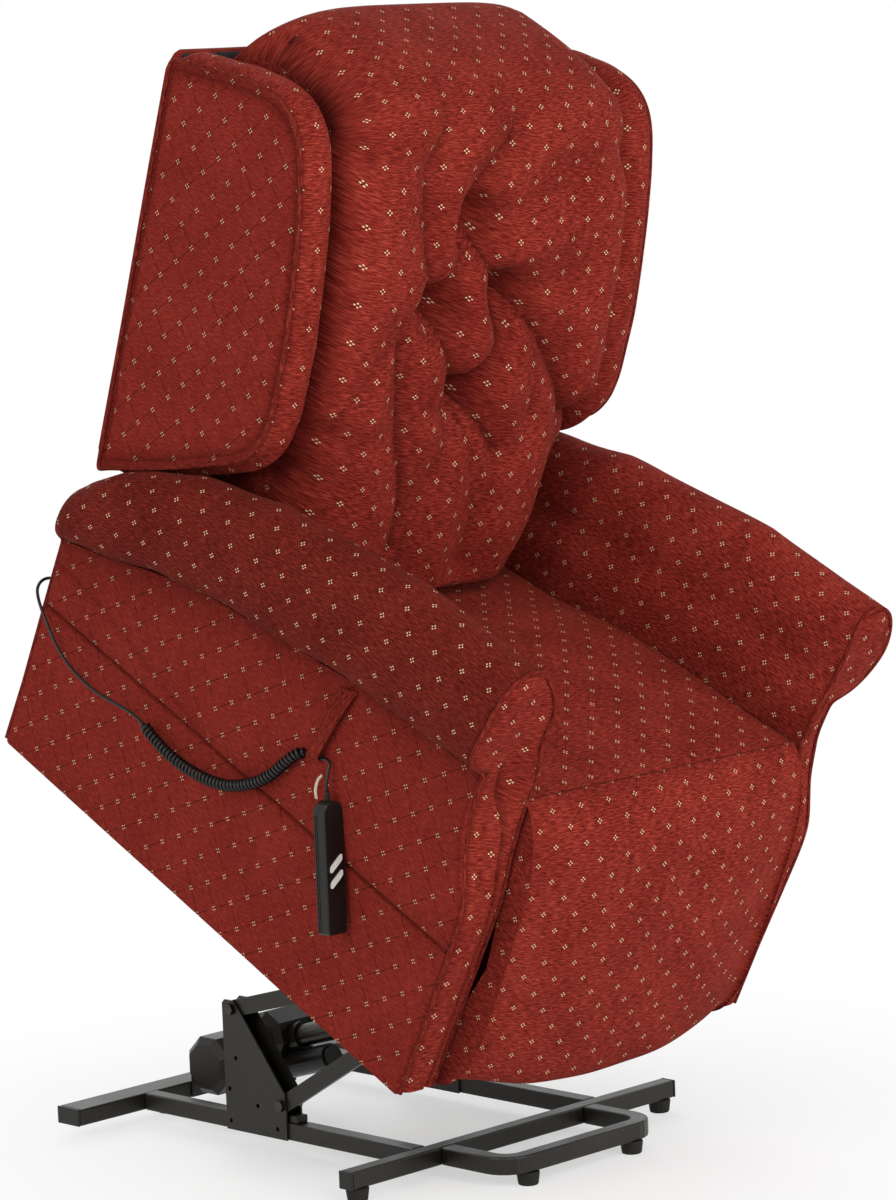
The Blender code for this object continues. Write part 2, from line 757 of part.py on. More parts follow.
def build_actuator_bracket():
    """A pair of ears on a plate on top of the rear crossbar, with the actuator's rear pin."""
    low = FOOT_HEIGHT + TUBE + SEAT_GAP
    inner_face = REAR_LUG_HALF + RUNNING_GAP
    reach = inner_face + EAR
    bracket = box(
        "actuator_bracket",
        (ACTUATOR_X - reach - EAR_FLANGE, REAR_BAR_Y - EAR_PLATE_HALF, low),
        (ACTUATOR_X + reach + EAR_FLANGE, REAR_BAR_Y + EAR_PLATE_HALF, low + EAR),
        BLACK_PAINT,
        BASE,
    )
    y, z = ACTUATOR_PIVOT
    foot = low + EAR / 2
    outline = arc((y, z), EAR_RADIUS, 0, 180, 8) + [(y - 0.015, foot), (y + 0.018, foot)]
    for edge in (-1, 1):
        inner = ACTUATOR_X + edge * inner_face
        fuse(bracket, helper_plate(f"ear{edge}", outline, sorted((inner, inner + edge * EAR)), BASE))
    pin_reach = reach + 0.0025
    pin_span = (ACTUATOR_X - pin_reach, ACTUATOR_X + pin_reach)
    fuse(bracket, helper_rod("rear_pin", ACTUATOR_PIVOT, ACTUATOR_PIN_RADIUS, pin_span, BASE))


def build_power_unit():
    """The mains power unit: an octagonal moulding on an upright plate in front of the rear crossbar."""
    face = REAR_BAR_Y - REAR_BAR_DEPTH / 2 - SEAT_GAP
    middle_x = (POWER_UNIT_X[0] + POWER_UNIT_X[1]) / 2
    box(
        "power_unit_plate",
        (middle_x - POWER_PLATE_HALF, face - PLATE, FOOT_HEIGHT + OVERLAP),
        (middle_x + POWER_PLATE_HALF, face, POWER_UNIT_HEIGHT + 0.012),
        BLACK_PAINT,
        BASE,
        0.0008,
    )
    y = face - PLATE - SEAT_GAP - POWER_UNIT_ACROSS / 2
    z = POWER_UNIT_HEIGHT
    unit = octagonal_shell("power_unit", (y, z), POWER_UNIT_ACROSS, *POWER_UNIT_X, 0.0)
    end = POWER_UNIT_X[1]
    deep, high = INLET_RIM
    rim = helper_box("inlet_rim", (end - 0.004, y - deep, z - high), (end + 0.004, y + deep, z + high), BASE)
    deep, high = INLET_WELL
    low, far = (end - INLET_DEPTH, y - deep, z - high), (end + 0.008, y + deep, z + high)
    fuse(unit, rim)
    cut(unit, helper_box("inlet_well", low, far, BASE))


def octagonal_shell(name, center, across, x0, x1, turn):
    """An octagonal housing along X, with chamfered ends."""
    rings = []
    sections = ((x0, CHAMFER_SHARE), (x0 + CHAMFER, 1.0), (x1 - CHAMFER, 1.0), (x1, CHAMFER_SHARE))
    for x, share in sections:
        rings.append([(x, y, z) for y, z in octagon(center, across * share, turn)])
    return loft(name, rings, BLACK_PLASTIC, BASE)


def octagon(center, across, turn):
    radius = across / 2 / math.cos(math.pi / 8)
    return [
        (center[0] + radius * math.cos(a), center[1] + radius * math.sin(a))
        for a in turn + math.pi / 8 + np.arange(8) * math.pi / 4
    ]


def build_actuator():
    """The lift actuator: a gear housing on the rear pin with a motor under it, then a tube and a rod."""
    housing = build_gear_housing()
    bore = OUTER_TUBE_RADIUS + SEAT_GAP
    cut(housing, round_along("tube_socket", TUBE_START - SEAT_GAP, HOUSING_END + 0.03, bore))
    tube = round_along("actuator_tube", TUBE_START, OUTER_TUBE_END, OUTER_TUBE_RADIUS, keep=False)
    room = ROD_RADIUS + 0.0008
    cut(tube, round_along("rod_room", TUBE_START + 0.006, OUTER_TUBE_END + 0.03, room, segments=16))
    tip = np.linalg.norm(crank_lug_tip() - ACTUATOR_PIVOT)
    rod = round_along("actuator_rod", ROD_START, tip - ROD_EYE_NECK, ROD_RADIUS, segments=16, keep=False)
    eye_span = (ACTUATOR_X - ROD_EYE_HALF, ACTUATOR_X + ROD_EYE_HALF)
    fuse(rod, helper_rod("rod_eye", along_actuator(tip), ROD_EYE_RADIUS, eye_span, BASE, 20))
    eased = ACTUATOR_PIN_RADIUS + ACTUATOR_EYE_CLEARANCE
    drill(rod, "rod_eye_hole", along_actuator(tip), eased, past(eye_span), BASE)
    for piece in (tube, rod):
        piece.data.materials[0] = STEEL


def build_gear_housing():
    x0 = ACTUATOR_X - HOUSING_LENGTH / 2
    center = along_actuator(HOUSING_AT, HOUSING_LIFT)
    turn = angle_of(actuator_heading())
    housing = octagonal_shell("actuator_housing", center, HOUSING_ACROSS, x0, x0 + HOUSING_LENGTH, turn)
    lug_span = (ACTUATOR_X - REAR_LUG_HALF, ACTUATOR_X + REAR_LUG_HALF)
    lug_end = along_actuator(HOUSING_AT - HOUSING_ACROSS / 2 + 0.006)
    lug = helper_plate("rear_lug", bar_outline(ACTUATOR_PIVOT, lug_end, REAR_LUG_WIDTH), lug_span, BASE)
    collar = round_along("tube_collar", HOUSING_AT, HOUSING_END, OUTER_TUBE_RADIUS + COLLAR_WALL)
    motor_end = MOTOR_END - MOTOR_NOSE_LENGTH
    motor = round_along("motor", HOUSING_AT, motor_end, MOTOR_RADIUS, x=MOTOR_X, lift=-MOTOR_DROP)
    nose_radius = MOTOR_RADIUS - MOTOR_NOSE_STEP
    nose = round_along("motor_nose", MOTOR_END - 0.02, MOTOR_END, nose_radius, x=MOTOR_X, lift=-MOTOR_DROP)
    fuse(housing, lug, collar, motor, nose)
    return drill(housing, "rear_eye", ACTUATOR_PIVOT, ACTUATOR_PIN_RADIUS + SEAT_GAP, past(lug_span), BASE)


def round_along(name, start, stop, radius, segments=20, x=ACTUATOR_X, lift=0.0, keep=True):
    """A cylinder along the actuator's line, from start to stop, or beside that line."""
    middle = along_actuator((start + stop) / 2, lift)
    turn = Matrix.Rotation(angle_of(actuator_heading()) - math.pi / 2, 4, "X")
    placement = Matrix.Translation((x, middle[0], middle[1])) @ turn
    return round_piece(name, placement, radius, radius, stop - start, BLACK_PLASTIC, BASE, segments, keep)


# Seat frame, seat and arms


def build_seat_frame():
    """A plywood deck on two rails, with the legrest's lugs at the front and the backrest's at the rear."""
    half = ARM_INNER - SEAT_GAP
    low, high = (-half, DECK_FRONT, DECK_TOP - DECK), (half, DECK_REAR, DECK_TOP)
    frame = box("seat_frame", low, high, PLYWOOD, CHAIR)
    y, z = LEGREST_PIVOT
    lug_line = arc((y, z), LEGREST_LUG_RADIUS, 30, 200, 6)
    lug_line += [(y + 0.066, 0.276), (y + 0.100, 0.276), (y + 0.100, 0.297)]
    lug_line += [(y + 0.070, 0.297), (y + 0.058, 0.300)]
    y, z = RECLINE_PIVOT
    cheek_line = arc((y, z), RECLINE_CHEEK_RADIUS, 180, 360, 6)
    cheek_line += [(y + 0.015, DECK_TOP - 0.004), (y - 0.10, DECK_TOP - 0.004)]
    for side, name in SIDES:
        inner = CARRIAGE_X + SEAT_GAP
        x0, x1 = span_of(side, inner, inner + RAIL_BOARD)
        low, high = (x0, DECK_FRONT, RAIL_BOARD_FOOT), (x1, DECK_REAR - 0.05, DECK_TOP - 0.01)
        rail = helper_box(name + "_deck_rail", low, high, CHAIR)
        lug = helper_plate(name + "_legrest_lug", lug_line, span_of(side, *LEGREST_LUG), CHAIR)
        pin_span = span_of(side, *LEGREST_PIN)
        pin = helper_rod(name + "_legrest_pin", LEGREST_PIVOT, HINGE_PIN_RADIUS, pin_span, CHAIR)
        cheek_span = span_of(side, half - RECLINE_CHEEK, half)
        cheek = helper_plate(name + "_recline_cheek", cheek_line, cheek_span, CHAIR)
        pin_span = span_of(side, half - RECLINE_PIN, half - OVERLAP)
        recline_pin = helper_rod(name + "_recline_pin", RECLINE_PIVOT, RECLINE_PIN_RADIUS, pin_span, CHAIR)
        fuse(frame, rail, lug, pin, cheek, recline_pin)


def seat_profile(y):
    """The height of the seat's middle line above the chair frame's floor."""
    t = np.clip((y - LEGREST_PIVOT[0]) / (SEAT_REAR - LEGREST_PIVOT[0]), 0, 1)
    crown = SEAT_CROWN * np.sin(np.pi * np.clip(t * 1.3, 0, 1))
    return SEAT_FRONT_TOP + (SEAT_REAR_TOP - SEAT_FRONT_TOP) * t + crown


def build_seat_cushion():
    """Crowned along and across, with its sides drawn in and its front cut round to clear the legrest."""
    bottom = DECK_TOP + SEAT_GAP
    front = LEGREST_PIVOT[0] + 0.004
    top_y = np.linspace(front, SEAT_REAR - 0.012, 12)
    rings = []
    for u in (-1.0, -0.975, -0.86, -0.6, -0.3, 0.0, 0.3, 0.6, 0.86, 0.975, 1.0):
        x = u * SEAT_HALF
        drop = 0.024 * abs(u) ** 5 + (0.020 if abs(u) == 1 else 0)
        rise = 0.012 * (1 - u * u)
        ring = [(x, front, bottom)]
        for y in top_y:
            swell = rise * math.sin(math.pi * min(1, (y - front) / 0.55))
            ring.append((x, y, seat_profile(y) - drop + swell))
        ring += [(x, SEAT_REAR, seat_profile(SEAT_REAR) - drop - 0.014), (x, SEAT_REAR, bottom)]
        rings.append(ring)
    cushion = loft("seat_cushion", rings, FABRIC, CHAIR)
    return drill(cushion, "legrest_room", LEGREST_PIVOT, LEGREST_RADIUS + 0.001, (-0.3, 0.3), CHAIR, 48)


def front_face(z):
    """How far behind the front plane the arm's front stands at this height: a knee, and a hollow above."""
    knots = np.array([0.0, 0.27, 0.31, 0.37, 0.43, 0.50, 0.57, 0.66])
    depth = np.array([0.0, 0.0, 0.004, 0.032, 0.046, 0.043, 0.027, 0.026])
    return np.interp(z, knots, depth)


def arm_top(y):
    knots = np.array([0.0, 0.25, 0.52, 0.665, 0.743, 0.80, 0.843, 0.866, 0.876])
    tops = np.array([0.652, 0.648, 0.606, 0.562, 0.525, 0.489, 0.452, 0.425, 0.405])
    return np.interp(y, knots, tops)


def arm_crease(y):
    """The height at which the roll meets the outer panel."""
    knots = np.array([0.0, 0.30, 0.56, 0.684, 0.764, 0.876])
    heights = np.array([0.508, 0.478, 0.432, 0.402, 0.374, 0.342])
    return np.interp(y, knots, heights)


def arm_ring(y, inset=0.0):
    top = arm_top(y) - inset
    crease = arm_crease(y)
    middle = (top + crease) / 2
    half_height = (top - crease) / 2
    waist = PANEL_WAIST - inset
    foot = PANEL_FOOT - inset
    wall = ARM_INNER + inset
    points = [(wall, inset), (wall, 0.15), (wall, 0.30), (wall, middle - half_height * 0.9)]
    taper = np.clip((y - ROLL_TAPER_START) / (SIDE_DEPTH - ROLL_TAPER_START), 0, 1)
    reach = (ROLL_HALF_WIDTH - inset) * math.sqrt(1 - 0.8 * taper**2)
    for a in np.radians(np.linspace(-20, 238, 15)):
        points.append((ROLL_X - reach * math.cos(a), middle + half_height * math.sin(a)))
    points += [(waist + 0.001, crease - 0.006), (waist, 0.300), (waist - 0.002, SEAM_HEIGHT)]
    return points + [(foot, 0.10), (foot, inset)]


def build_arms():
    """Scroll arms: an outer panel with a rolled top that hangs over it and falls towards the rear."""
    for side, name in SIDES:
        rings = []
        for y in (*ARM_STATIONS, SIDE_DEPTH):
            inset = ARM_FACE_EDGE if y in (0.0, SIDE_DEPTH) else 0.0
            ease = max(0.0, 1 - y / ARM_FACE_EASE)
            rings.append([(side * x, y + front_face(z) * ease, z) for x, z in arm_ring(y, inset)])
        loft(name + "_arm", rings, FABRIC, CHAIR)


def legrest_ring(u, rear):
    """The pad's outline at this share of its half width: a round top about the pivot, then a bulge."""
    y0, z0 = LEGREST_PIVOT
    bulge = LEGREST_BULGE * (1 - u**4)
    edge = {1.0: 0.018, 0.97: 0.006}.get(abs(u), 0.0)
    radius = LEGREST_RADIUS - edge
    ring = [(u * LEGREST_HALF, rear, z0 + radius - 0.0005)]
    for a in np.radians(np.linspace(98, 180, 8)):
        ring.append((u * LEGREST_HALF, y0 + radius * math.cos(a), z0 + radius * math.sin(a)))
    for z, swell in ((0.30, 0.25), (0.24, 0.7), (0.17, 1.0), (0.10, 0.8), (0.045, 0.35)):
        y = y0 - radius - bulge * swell * 0.9 + 0.012 * (1 - swell)
        ring.append((u * LEGREST_HALF, y, z))
    foot = 0.002 + edge * 0.3
    for y, z in ((-0.034 + edge, 0.012), (-0.016, foot), (rear, foot)):
        ring.append((u * LEGREST_HALF, y, z))
    return ring


def build_legrest():
    """The pad's round top keeps one radius about its pivot, so that the seat's front stays closed."""
    rear = LEGREST_PIVOT[0] - 0.002
    shares = (-1.0, -0.97, -0.85, -0.6, -0.3, 0.0, 0.3, 0.6, 0.85, 0.97, 1.0)
    pad = loft("legrest_pad", [legrest_ring(u, rear) for u in shares], FABRIC, CHAIR)
    for side, name in SIDES:
        room_span = span_of(side, *PIVOT_ROOM)
        cut(pad, helper_rod(name + "_pivot_room", LEGREST_PIVOT, PIVOT_ROOM_RADIUS, room_span, CHAIR))
    set_origin(pad, (0, *LEGREST_PIVOT))
    build_legrest_board(rear + SEAT_GAP)


def build_legrest_board(front):
    """A plywood board behind the pad, with lugs that turn on the seat frame's pins."""
    y, z = LEGREST_PIVOT
    low, high = (-BOARD_HALF, front, BOARD_FOOT), (BOARD_HALF, front + LEGREST_BOARD, z - 0.030)
    board = box("legrest_board", low, high, PLYWOOD, CHAIR)
    line = arc((y, z), BOARD_LUG_RADIUS, 0, 210, 8)
    line += [(y - 0.0015, z - 0.0135), (y - 0.0015, z - 0.06), (y + 0.010, z - 0.06)]
    for side, name in SIDES:
        span = span_of(side, *BOARD_LUG)
        fuse(board, helper_plate(name + "_board_lug", line, span, CHAIR))
        bore = HINGE_PIN_RADIUS + SEAT_GAP
        drill(board, name + "_board_hole", LEGREST_PIVOT, bore, past(span), CHAIR, 16)
    set_origin(board, (0, y, z))


# Backrest


def back_plane(z):
    """The y of the outer back's rear face: upright below the arms, leaning back above them."""
    return BACK_REAR + math.tan(BACK_LEAN) * np.maximum(0.0, z - BACK_KNEE)


def build_outer_back():
    """A flat board, narrow between the arms and wide above them."""
    rings = []
    for z, half in (
        (OUTER_BACK_FOOT, OUTER_BACK_HALF),
        (BACK_KNEE, OUTER_BACK_HALF),
        (OUTER_BACK_STEP - OVERLAP, OUTER_BACK_HALF),
        (OUTER_BACK_STEP, OUTER_BACK_WIDE),
        (OUTER_BACK_TOP - 0.030, OUTER_BACK_WIDE),
        (OUTER_BACK_TOP, OUTER_BACK_WIDE - 0.012),
    ):
        rear = float(back_plane(z))
        front = rear - OUTER_BACK
        rings.append([(-half, front, z), (half, front, z), (half, rear, z), (-half, rear, z)])
    outer = loft("outer_back", rings, FABRIC, CHAIR)
    set_origin(outer, (0, *RECLINE_PIVOT))


def build_back_frame():
    """A plywood back between the cushion and the outer back, with hinge arms down to the recline pivot."""
    rear_gap = OUTER_BACK + SEAT_GAP
    levels = (BACK_FRAME_FOOT, BACK_KNEE, BACK_FRAME_TOP)
    outline = [(float(back_plane(z)) - rear_gap, z) for z in levels]
    outline += [(float(back_plane(z)) - rear_gap - BACK_FRAME, z) for z in levels[::-1]]
    frame = plate("back_frame", outline, -BACK_FRAME_HALF, BACK_FRAME_HALF, PLYWOOD, CHAIR)
    arm_line = arc(RECLINE_PIVOT, RECLINE_CHEEK_RADIUS, 120, 280, 7)
    arm_line += [(0.84, 0.150), (0.84, 0.40), (0.815, 0.40), (0.80, 0.22)]
    for side, name in SIDES:
        span = span_of(side, *HINGE_ARM)
        arm = helper_plate(name + "_hinge_arm", arm_line, span, CHAIR)
        x0, x1 = span_of(side, *HINGE_TIE)
        fuse(frame, arm, helper_box(name + "_hinge_tie", (x0, 0.832, 0.16), (x1, 0.8395, 0.39), CHAIR))
        bore = RECLINE_PIN_RADIUS + SEAT_GAP
        drill(frame, name + "_recline_hole", RECLINE_PIVOT, bore, past(span), CHAIR)
    set_origin(frame, (0, *RECLINE_PIVOT))


def wing_outline(grow):
    """The wing's side view: (y, z) points, grown outwards by a distance except along its rear edge."""
    front = [(0.560, 0.664), (0.568, 0.705), (0.590, 0.786), (0.622, 0.895), (0.642, 0.988)]
    crown = arc((0.712, 1.008), 0.066, 168, 78, 5) + [(0.800, 1.070)]
    foot = [(0.800, 0.508), (0.700, 0.564), (0.620, 0.602), (0.580, 0.622)]
    line = np.array(foot + front + crown)
    edges = np.diff(np.vstack([line[0] + line[0] - line[1], line, 2 * line[-1] - line[-2]]), axis=0)
    edges /= np.linalg.norm(edges, axis=1)[:, None]
    mean = edges[:-1] + edges[1:]
    mean /= np.linalg.norm(mean, axis=1)[:, None]
    grown = line + grow * np.stack([-mean[:, 1], mean[:, 0]], axis=1)
    rear_gap = OUTER_BACK + SEAT_GAP
    high, middle, low = WING_REAR_LEVELS
    rear = [(float(back_plane(z)) - rear_gap, z) for z in (high + grow, middle, low - grow)]
    return [tuple(point) for point in grown] + rear


def build_wings():
    """Box wings: a flat outer panel inside a crowned boxing strip."""
    for side, name in SIDES:
        rings = []
        for depth, grow in WING_SECTION:
            x = side * (WING_OUTER - depth)
            rings.append([(x, y, z) for y, z in wing_outline(grow)])
        wing = loft(name + "_wing", rings, FABRIC, CHAIR)
        set_origin(wing, (0, *RECLINE_PIVOT))


TUFTS = (
    (0.0, 0.955, 0.050),
    (-0.100, 0.935, 0.026),
    (0.100, 0.935, 0.026),
    (-0.062, 0.838, 0.048),
    (0.062, 0.838, 0.048),
    (0.0, 0.705, 0.044),
)
TUFT_WIDTH = 0.034


def cushion_half_width(z):
    """Wide above the arms, narrow between them."""
    levels = (0.40, 0.47, 0.60, 0.66, 0.72, 1.04, 1.12, 1.165)
    return np.interp(z, levels, (0.232, 0.244, 0.244, 0.266, 0.270, 0.268, 0.256, 0.222))


def cushion_front(x, z):
    """The y of the cushion's front: it leans back, swells, and is pulled in at each tuft."""
    levels = (0.40, 0.50, 0.62, 0.75, 0.90, 1.04, 1.12, 1.165)
    line = np.interp(z, levels, (0.525, 0.507, 0.515, 0.535, 0.565, 0.612, 0.675, 0.745))
    u = np.clip(x / cushion_half_width(z), -1, 1)
    sides = 0.075 * np.abs(u) ** 4
    pulled = 0.0
    for tuft_x, tuft_z, depth in TUFTS:
        away = np.hypot(x - tuft_x, z - tuft_z)
        pulled = pulled + depth * np.exp(-((away / TUFT_WIDTH) ** 2))
        pulled = pulled + 0.010 * np.exp(-((away / 0.085) ** 2))
    return line + sides + pulled


def build_back_cushion():
    rear_gap = OUTER_BACK + 2 * SEAT_GAP + BACK_FRAME
    across = np.sin(np.linspace(-math.pi / 2, math.pi / 2, 21))
    heights = np.concatenate([np.linspace(CUSHION_BOTTOM + 0.012, 1.10, 23), [1.130, CUSHION_TOP - 0.007]])
    rings = []
    first = heights[0]
    last = heights[-1]
    levels = sorted([CUSHION_BOTTOM, BACK_KNEE, *heights, CUSHION_TOP])
    for z in levels:
        flat = np.clip(z, first, last)
        half = float(cushion_half_width(flat))
        xs = across * half
        ys = cushion_front(xs, flat)
        if z in (CUSHION_BOTTOM, CUSHION_TOP):
            ys = ys + 0.030
            xs = xs * 0.95
        rear = float(back_plane(z)) - rear_gap
        if z > BACK_FRAME_TOP:
            rear = float(back_plane(BACK_FRAME_TOP)) - rear_gap - 0.35 * (z - BACK_FRAME_TOP)
        ys = np.minimum(ys, rear - 0.02)
        side_y = min(max(ys[0] + 0.02, rear - 0.012), rear - 0.004)
        behind = ((xs[-1], side_y), (xs[-1] * 0.9, rear), (0.0, rear), (xs[0] * 0.9, rear), (xs[0], side_y))
        rings.append([(x, y, z) for x, y in (*zip(xs, ys), *behind)])
    cushion = loft("back_cushion", rings, FABRIC, CHAIR)
    set_origin(cushion, (0, *RECLINE_PIVOT))


# Control box, cord, strap and handset


def build_control_box():
    """The control unit, hung under the deck between the rails, with a row of low-voltage sockets."""
    top = DECK_TOP - DECK - SEAT_GAP
    half, front, rear, height = CONTROL_BOX
    unit = box("control_box", (-half, front, top - height), (half, rear, top), BLACK_PLASTIC, CHAIR, 0.003)
    for i, x in enumerate(SOCKETS_X):
        low, high = (x - 0.009, rear - 0.010, top - 0.030), (x + 0.009, rear + 0.020, top - 0.014)
        cut(unit, helper_box(f"socket{i}", low, high, CHAIR))


STRAP_X = -(PANEL_WAIST + 0.0018)
GROMMET = np.array([-0.318, SIDE_DEPTH + SEAT_GAP, 0.256])
GROMMET_LENGTH = 0.010


def build_grommet():
    """A round strain relief on the rear edge of the arm, where the handset's cord comes out."""
    middle = Matrix.Translation(GROMMET + np.array([0, GROMMET_LENGTH / 2, 0]))
    placement = middle @ Matrix.Rotation(-math.pi / 2, 4, "X")
    round_piece("cord_grommet", placement, 0.0085, 0.0045, GROMMET_LENGTH, RUBBER, CHAIR, 16)


STRAP_TOP = np.array([0.294, 0.4545])
STRAP_BOTTOM = np.array([0.307, 0.3375])
STRAP_ALONG = np.array([-0.940, 0.342])
STRAP_WIDTH = 0.027
STRAP_THICKNESS = 0.0024
STRAP_BEND = 0.0088


def strap_outline(inset, half):
    """The strap's side seen along the cord: (x, drop) from its sewn top round its lower bend and back up."""
    top = (-inset, -half + inset)
    radius = STRAP_BEND - inset
    turns = np.radians(np.linspace(0, -180, 11))
    bend = [(-STRAP_BEND + radius * math.cos(a), half - STRAP_BEND - radius * math.sin(a)) for a in turns]
    return [top] + bend + [(-2 * STRAP_THICKNESS - SEAT_GAP + inset, -half + inset)]


def build_strap_loop():
    """A folded cloth strap sewn to the outer panel. The cord lies in its lower bend."""
    middle = (STRAP_TOP + STRAP_BOTTOM) / 2
    half = np.linalg.norm(STRAP_TOP - STRAP_BOTTOM) / 2
    down = (STRAP_BOTTOM - STRAP_TOP) / (2 * half)
    bm = bmesh.new()
    grid = []
    for inset in (0.0, STRAP_THICKNESS):
        for side in (-1, 1):
            row = []
            for x, drop in strap_outline(inset, half):
                point = middle + down * drop + STRAP_ALONG * side * STRAP_WIDTH / 2
                row.append(bm.verts.new((STRAP_X + x, point[0], point[1])))
            grid.append(row)
    outer_a, outer_b, inner_a, inner_b = grid
    count = len(outer_a)
    for i in range(count):
        j = (i + 1) % count
        bm.faces.new((outer_a[i], outer_a[j], outer_b[j], outer_b[i]))
        bm.faces.new((inner_b[i], inner_b[j], inner_a[j], inner_a[i]))
        bm.faces.new((inner_a[i], inner_a[j], outer_a[j], outer_a[i]))
        bm.faces.new((outer_b[i], outer_b[j], inner_b[j], inner_b[i]))
    finish(bm, "strap_loop", FABRIC, CHAIR)


LEAD_THROUGH_STRAP = 0.034
LEAD_TIP = 0.0016
CORD_START = GROMMET + np.array([0, GROMMET_LENGTH + SEAT_GAP, 0])
TAIL_POINTS = (
    (-0.3185, 0.9000, 0.2555),
    (-0.3225, 0.9060, 0.2530),
    (-0.3310, 0.9065, 0.2495),
    (-0.3410, 0.9015, 0.2455),
    (-0.3490, 0.8920, 0.2405),
    (-0.3525, 0.8800, 0.2350),
    (-0.3530, 0.8660, 0.2290),
    (-0.3525, 0.8460, 0.2170),
    (-0.3520, 0.8200, 0.2020),
    (-0.3520, 0.7900, 0.1905),
    (-0.3520, 0.7600, 0.1850),
    (-0.3520, 0.7300, 0.1840),
    (-0.3520, 0.7000, 0.1870),
    (-0.3520, 0.6720, 0.1925),
    (-0.3520, 0.6450, 0.1975),
    (-0.3520, 0.6250, 0.1990),
    (-0.3520, 0.6170, 0.1986),
)
CURL_ROUTE = (
    (-0.3525, 0.6130, 0.1982),
    (-0.3525, 0.5600, 0.1900),
    (-0.3525, 0.5000, 0.1935),
    (-0.3525, 0.4400, 0.2110),
    (-0.3525, 0.3950, 0.2420),
    (-0.3525, 0.3680, 0.2720),
    (-0.3530, 0.3520, 0.3000),
    (-0.3540, 0.3410, 0.3200),
    (-0.3550, 0.3330, 0.3310),
    (-0.3556, 0.3245, 0.3360),
)


def tube_curve(name, points, radius, material, parent, resolution=2, tip=1.0):
    """A round tube through the points. The tip is its first point's share of the radius."""
    curve = bpy.data.curves.new(name, "CURVE")
    curve.dimensions = "3D"
    spline = curve.splines.new("POLY")
    spline.points.add(len(points) - 1)
    for slot, point in zip(spline.points, points):
        slot.co = (*point, 1.0)
    spline.points[0].radius = tip
    curve.bevel_depth = radius
    curve.bevel_resolution = resolution
    curve.use_fill_caps = True
    curve.materials.append(material)
    obj = bpy.data.objects.new(name, curve)
    bpy.context.scene.collection.objects.link(obj)
    obj.parent = parent
    return obj


def smooth_route(knots, count):
    """Evenly spaced points along a Catmull-Rom curve through the knots."""
    knots = np.array(knots)
    padded = np.vstack([2 * knots[0] - knots[1], knots, 2 * knots[-1] - knots[-2]])
    fine = []
    for i in range(len(knots) - 1):
        a, b, c, d = padded[i : i + 4]
        for t in np.linspace(0, 1, 24, endpoint=False):
            square = (2 * a - 5 * b + 4 * c - d) * t * t
            cube = (3 * b - a - 3 * c + d) * t**3
            fine.append(0.5 * (2 * b + (c - a) * t + square + cube))
    fine = np.array(fine + [knots[-1]])
    steps = np.linalg.norm(np.diff(fine, axis=0), axis=1)
    travelled = np.concatenate([[0], np.cumsum(steps)])
    wanted = np.linspace(0, travelled[-1], count)
    return np.stack([np.interp(wanted, travelled, fine[:, k]) for k in range(3)], axis=1), travelled[-1]


def curl_points():
    """A helix about the sagging route, whose radius grows from the cord's own line at each end."""
    turns = CURL_COUNT
    count = turns * CURL_POINTS + 1
    centers, length = smooth_route(CURL_ROUTE, count)
    tangent = np.gradient(centers, axis=0)
    tangent /= np.linalg.norm(tangent, axis=1)[:, None]
    side = np.tile([1.0, 0, 0], (count, 1))
    side -= tangent * np.sum(side * tangent, axis=1)[:, None]
    side /= np.linalg.norm(side, axis=1)[:, None]
    other = np.cross(tangent, side)
    phase = np.linspace(0, 2 * math.pi * turns, count)[:, None]
    grow = np.clip(np.minimum(np.arange(count), np.arange(count)[::-1]) / CURL_POINTS, 0, 1)[:, None]
    radius = (CURL_DIAMETER - CORD_DIAMETER) / 2 * grow
    helix = centers + radius * (np.cos(phase) * side + np.sin(phase) * other)
    return helix, tangent, length


def least_gap(points, diameter, apart):
    """The smallest distance between stretches of a tube that are more than this many points apart."""
    middle = (points[:-1] + points[1:]) / 2
    both = np.vstack([points, middle])
    order = np.concatenate([np.arange(len(points)), np.arange(len(middle)) + 0.5])
    distance = np.linalg.norm(both[:, None] - both[None], axis=2)
    distance[np.abs(order[:, None] - order[None]) < apart] = np.inf
    return distance.min() - diameter


def build_cord():
    radius = CORD_DIAMETER / 2
    tail = [tuple(CORD_START), *TAIL_POINTS]
    tube_curve("cord_tail", tail, radius, BLACK_PLASTIC, CHAIR)
    helix, tangent, length = curl_points()
    lead_in = [helix[0] - tangent[0] * (CORD_DIAMETER + 0.0002), helix[0]]
    heading = np.array([0.0, *STRAP_ALONG])
    lead_out = [helix[-1] + heading * reach for reach in np.linspace(0.005, LEAD_THROUGH_STRAP, 5)]
    points = np.vstack([[lead_in[0]], helix, lead_out])
    print("least gap of the curly cord to itself, mm", round(1000 * least_gap(points, CORD_DIAMETER, 5), 2))
    tube_curve("cord_curl", [tuple(p) for p in points], radius, BLACK_PLASTIC, CHAIR, resolution=1)
    return points[-1], heading


def to_world(point):
    """A point of the chair frame, in world coordinates at rest."""
    y, z = to_base(np.array([point[1], point[2]]))
    return np.array([point[0], y + SHIFT_Y, z])


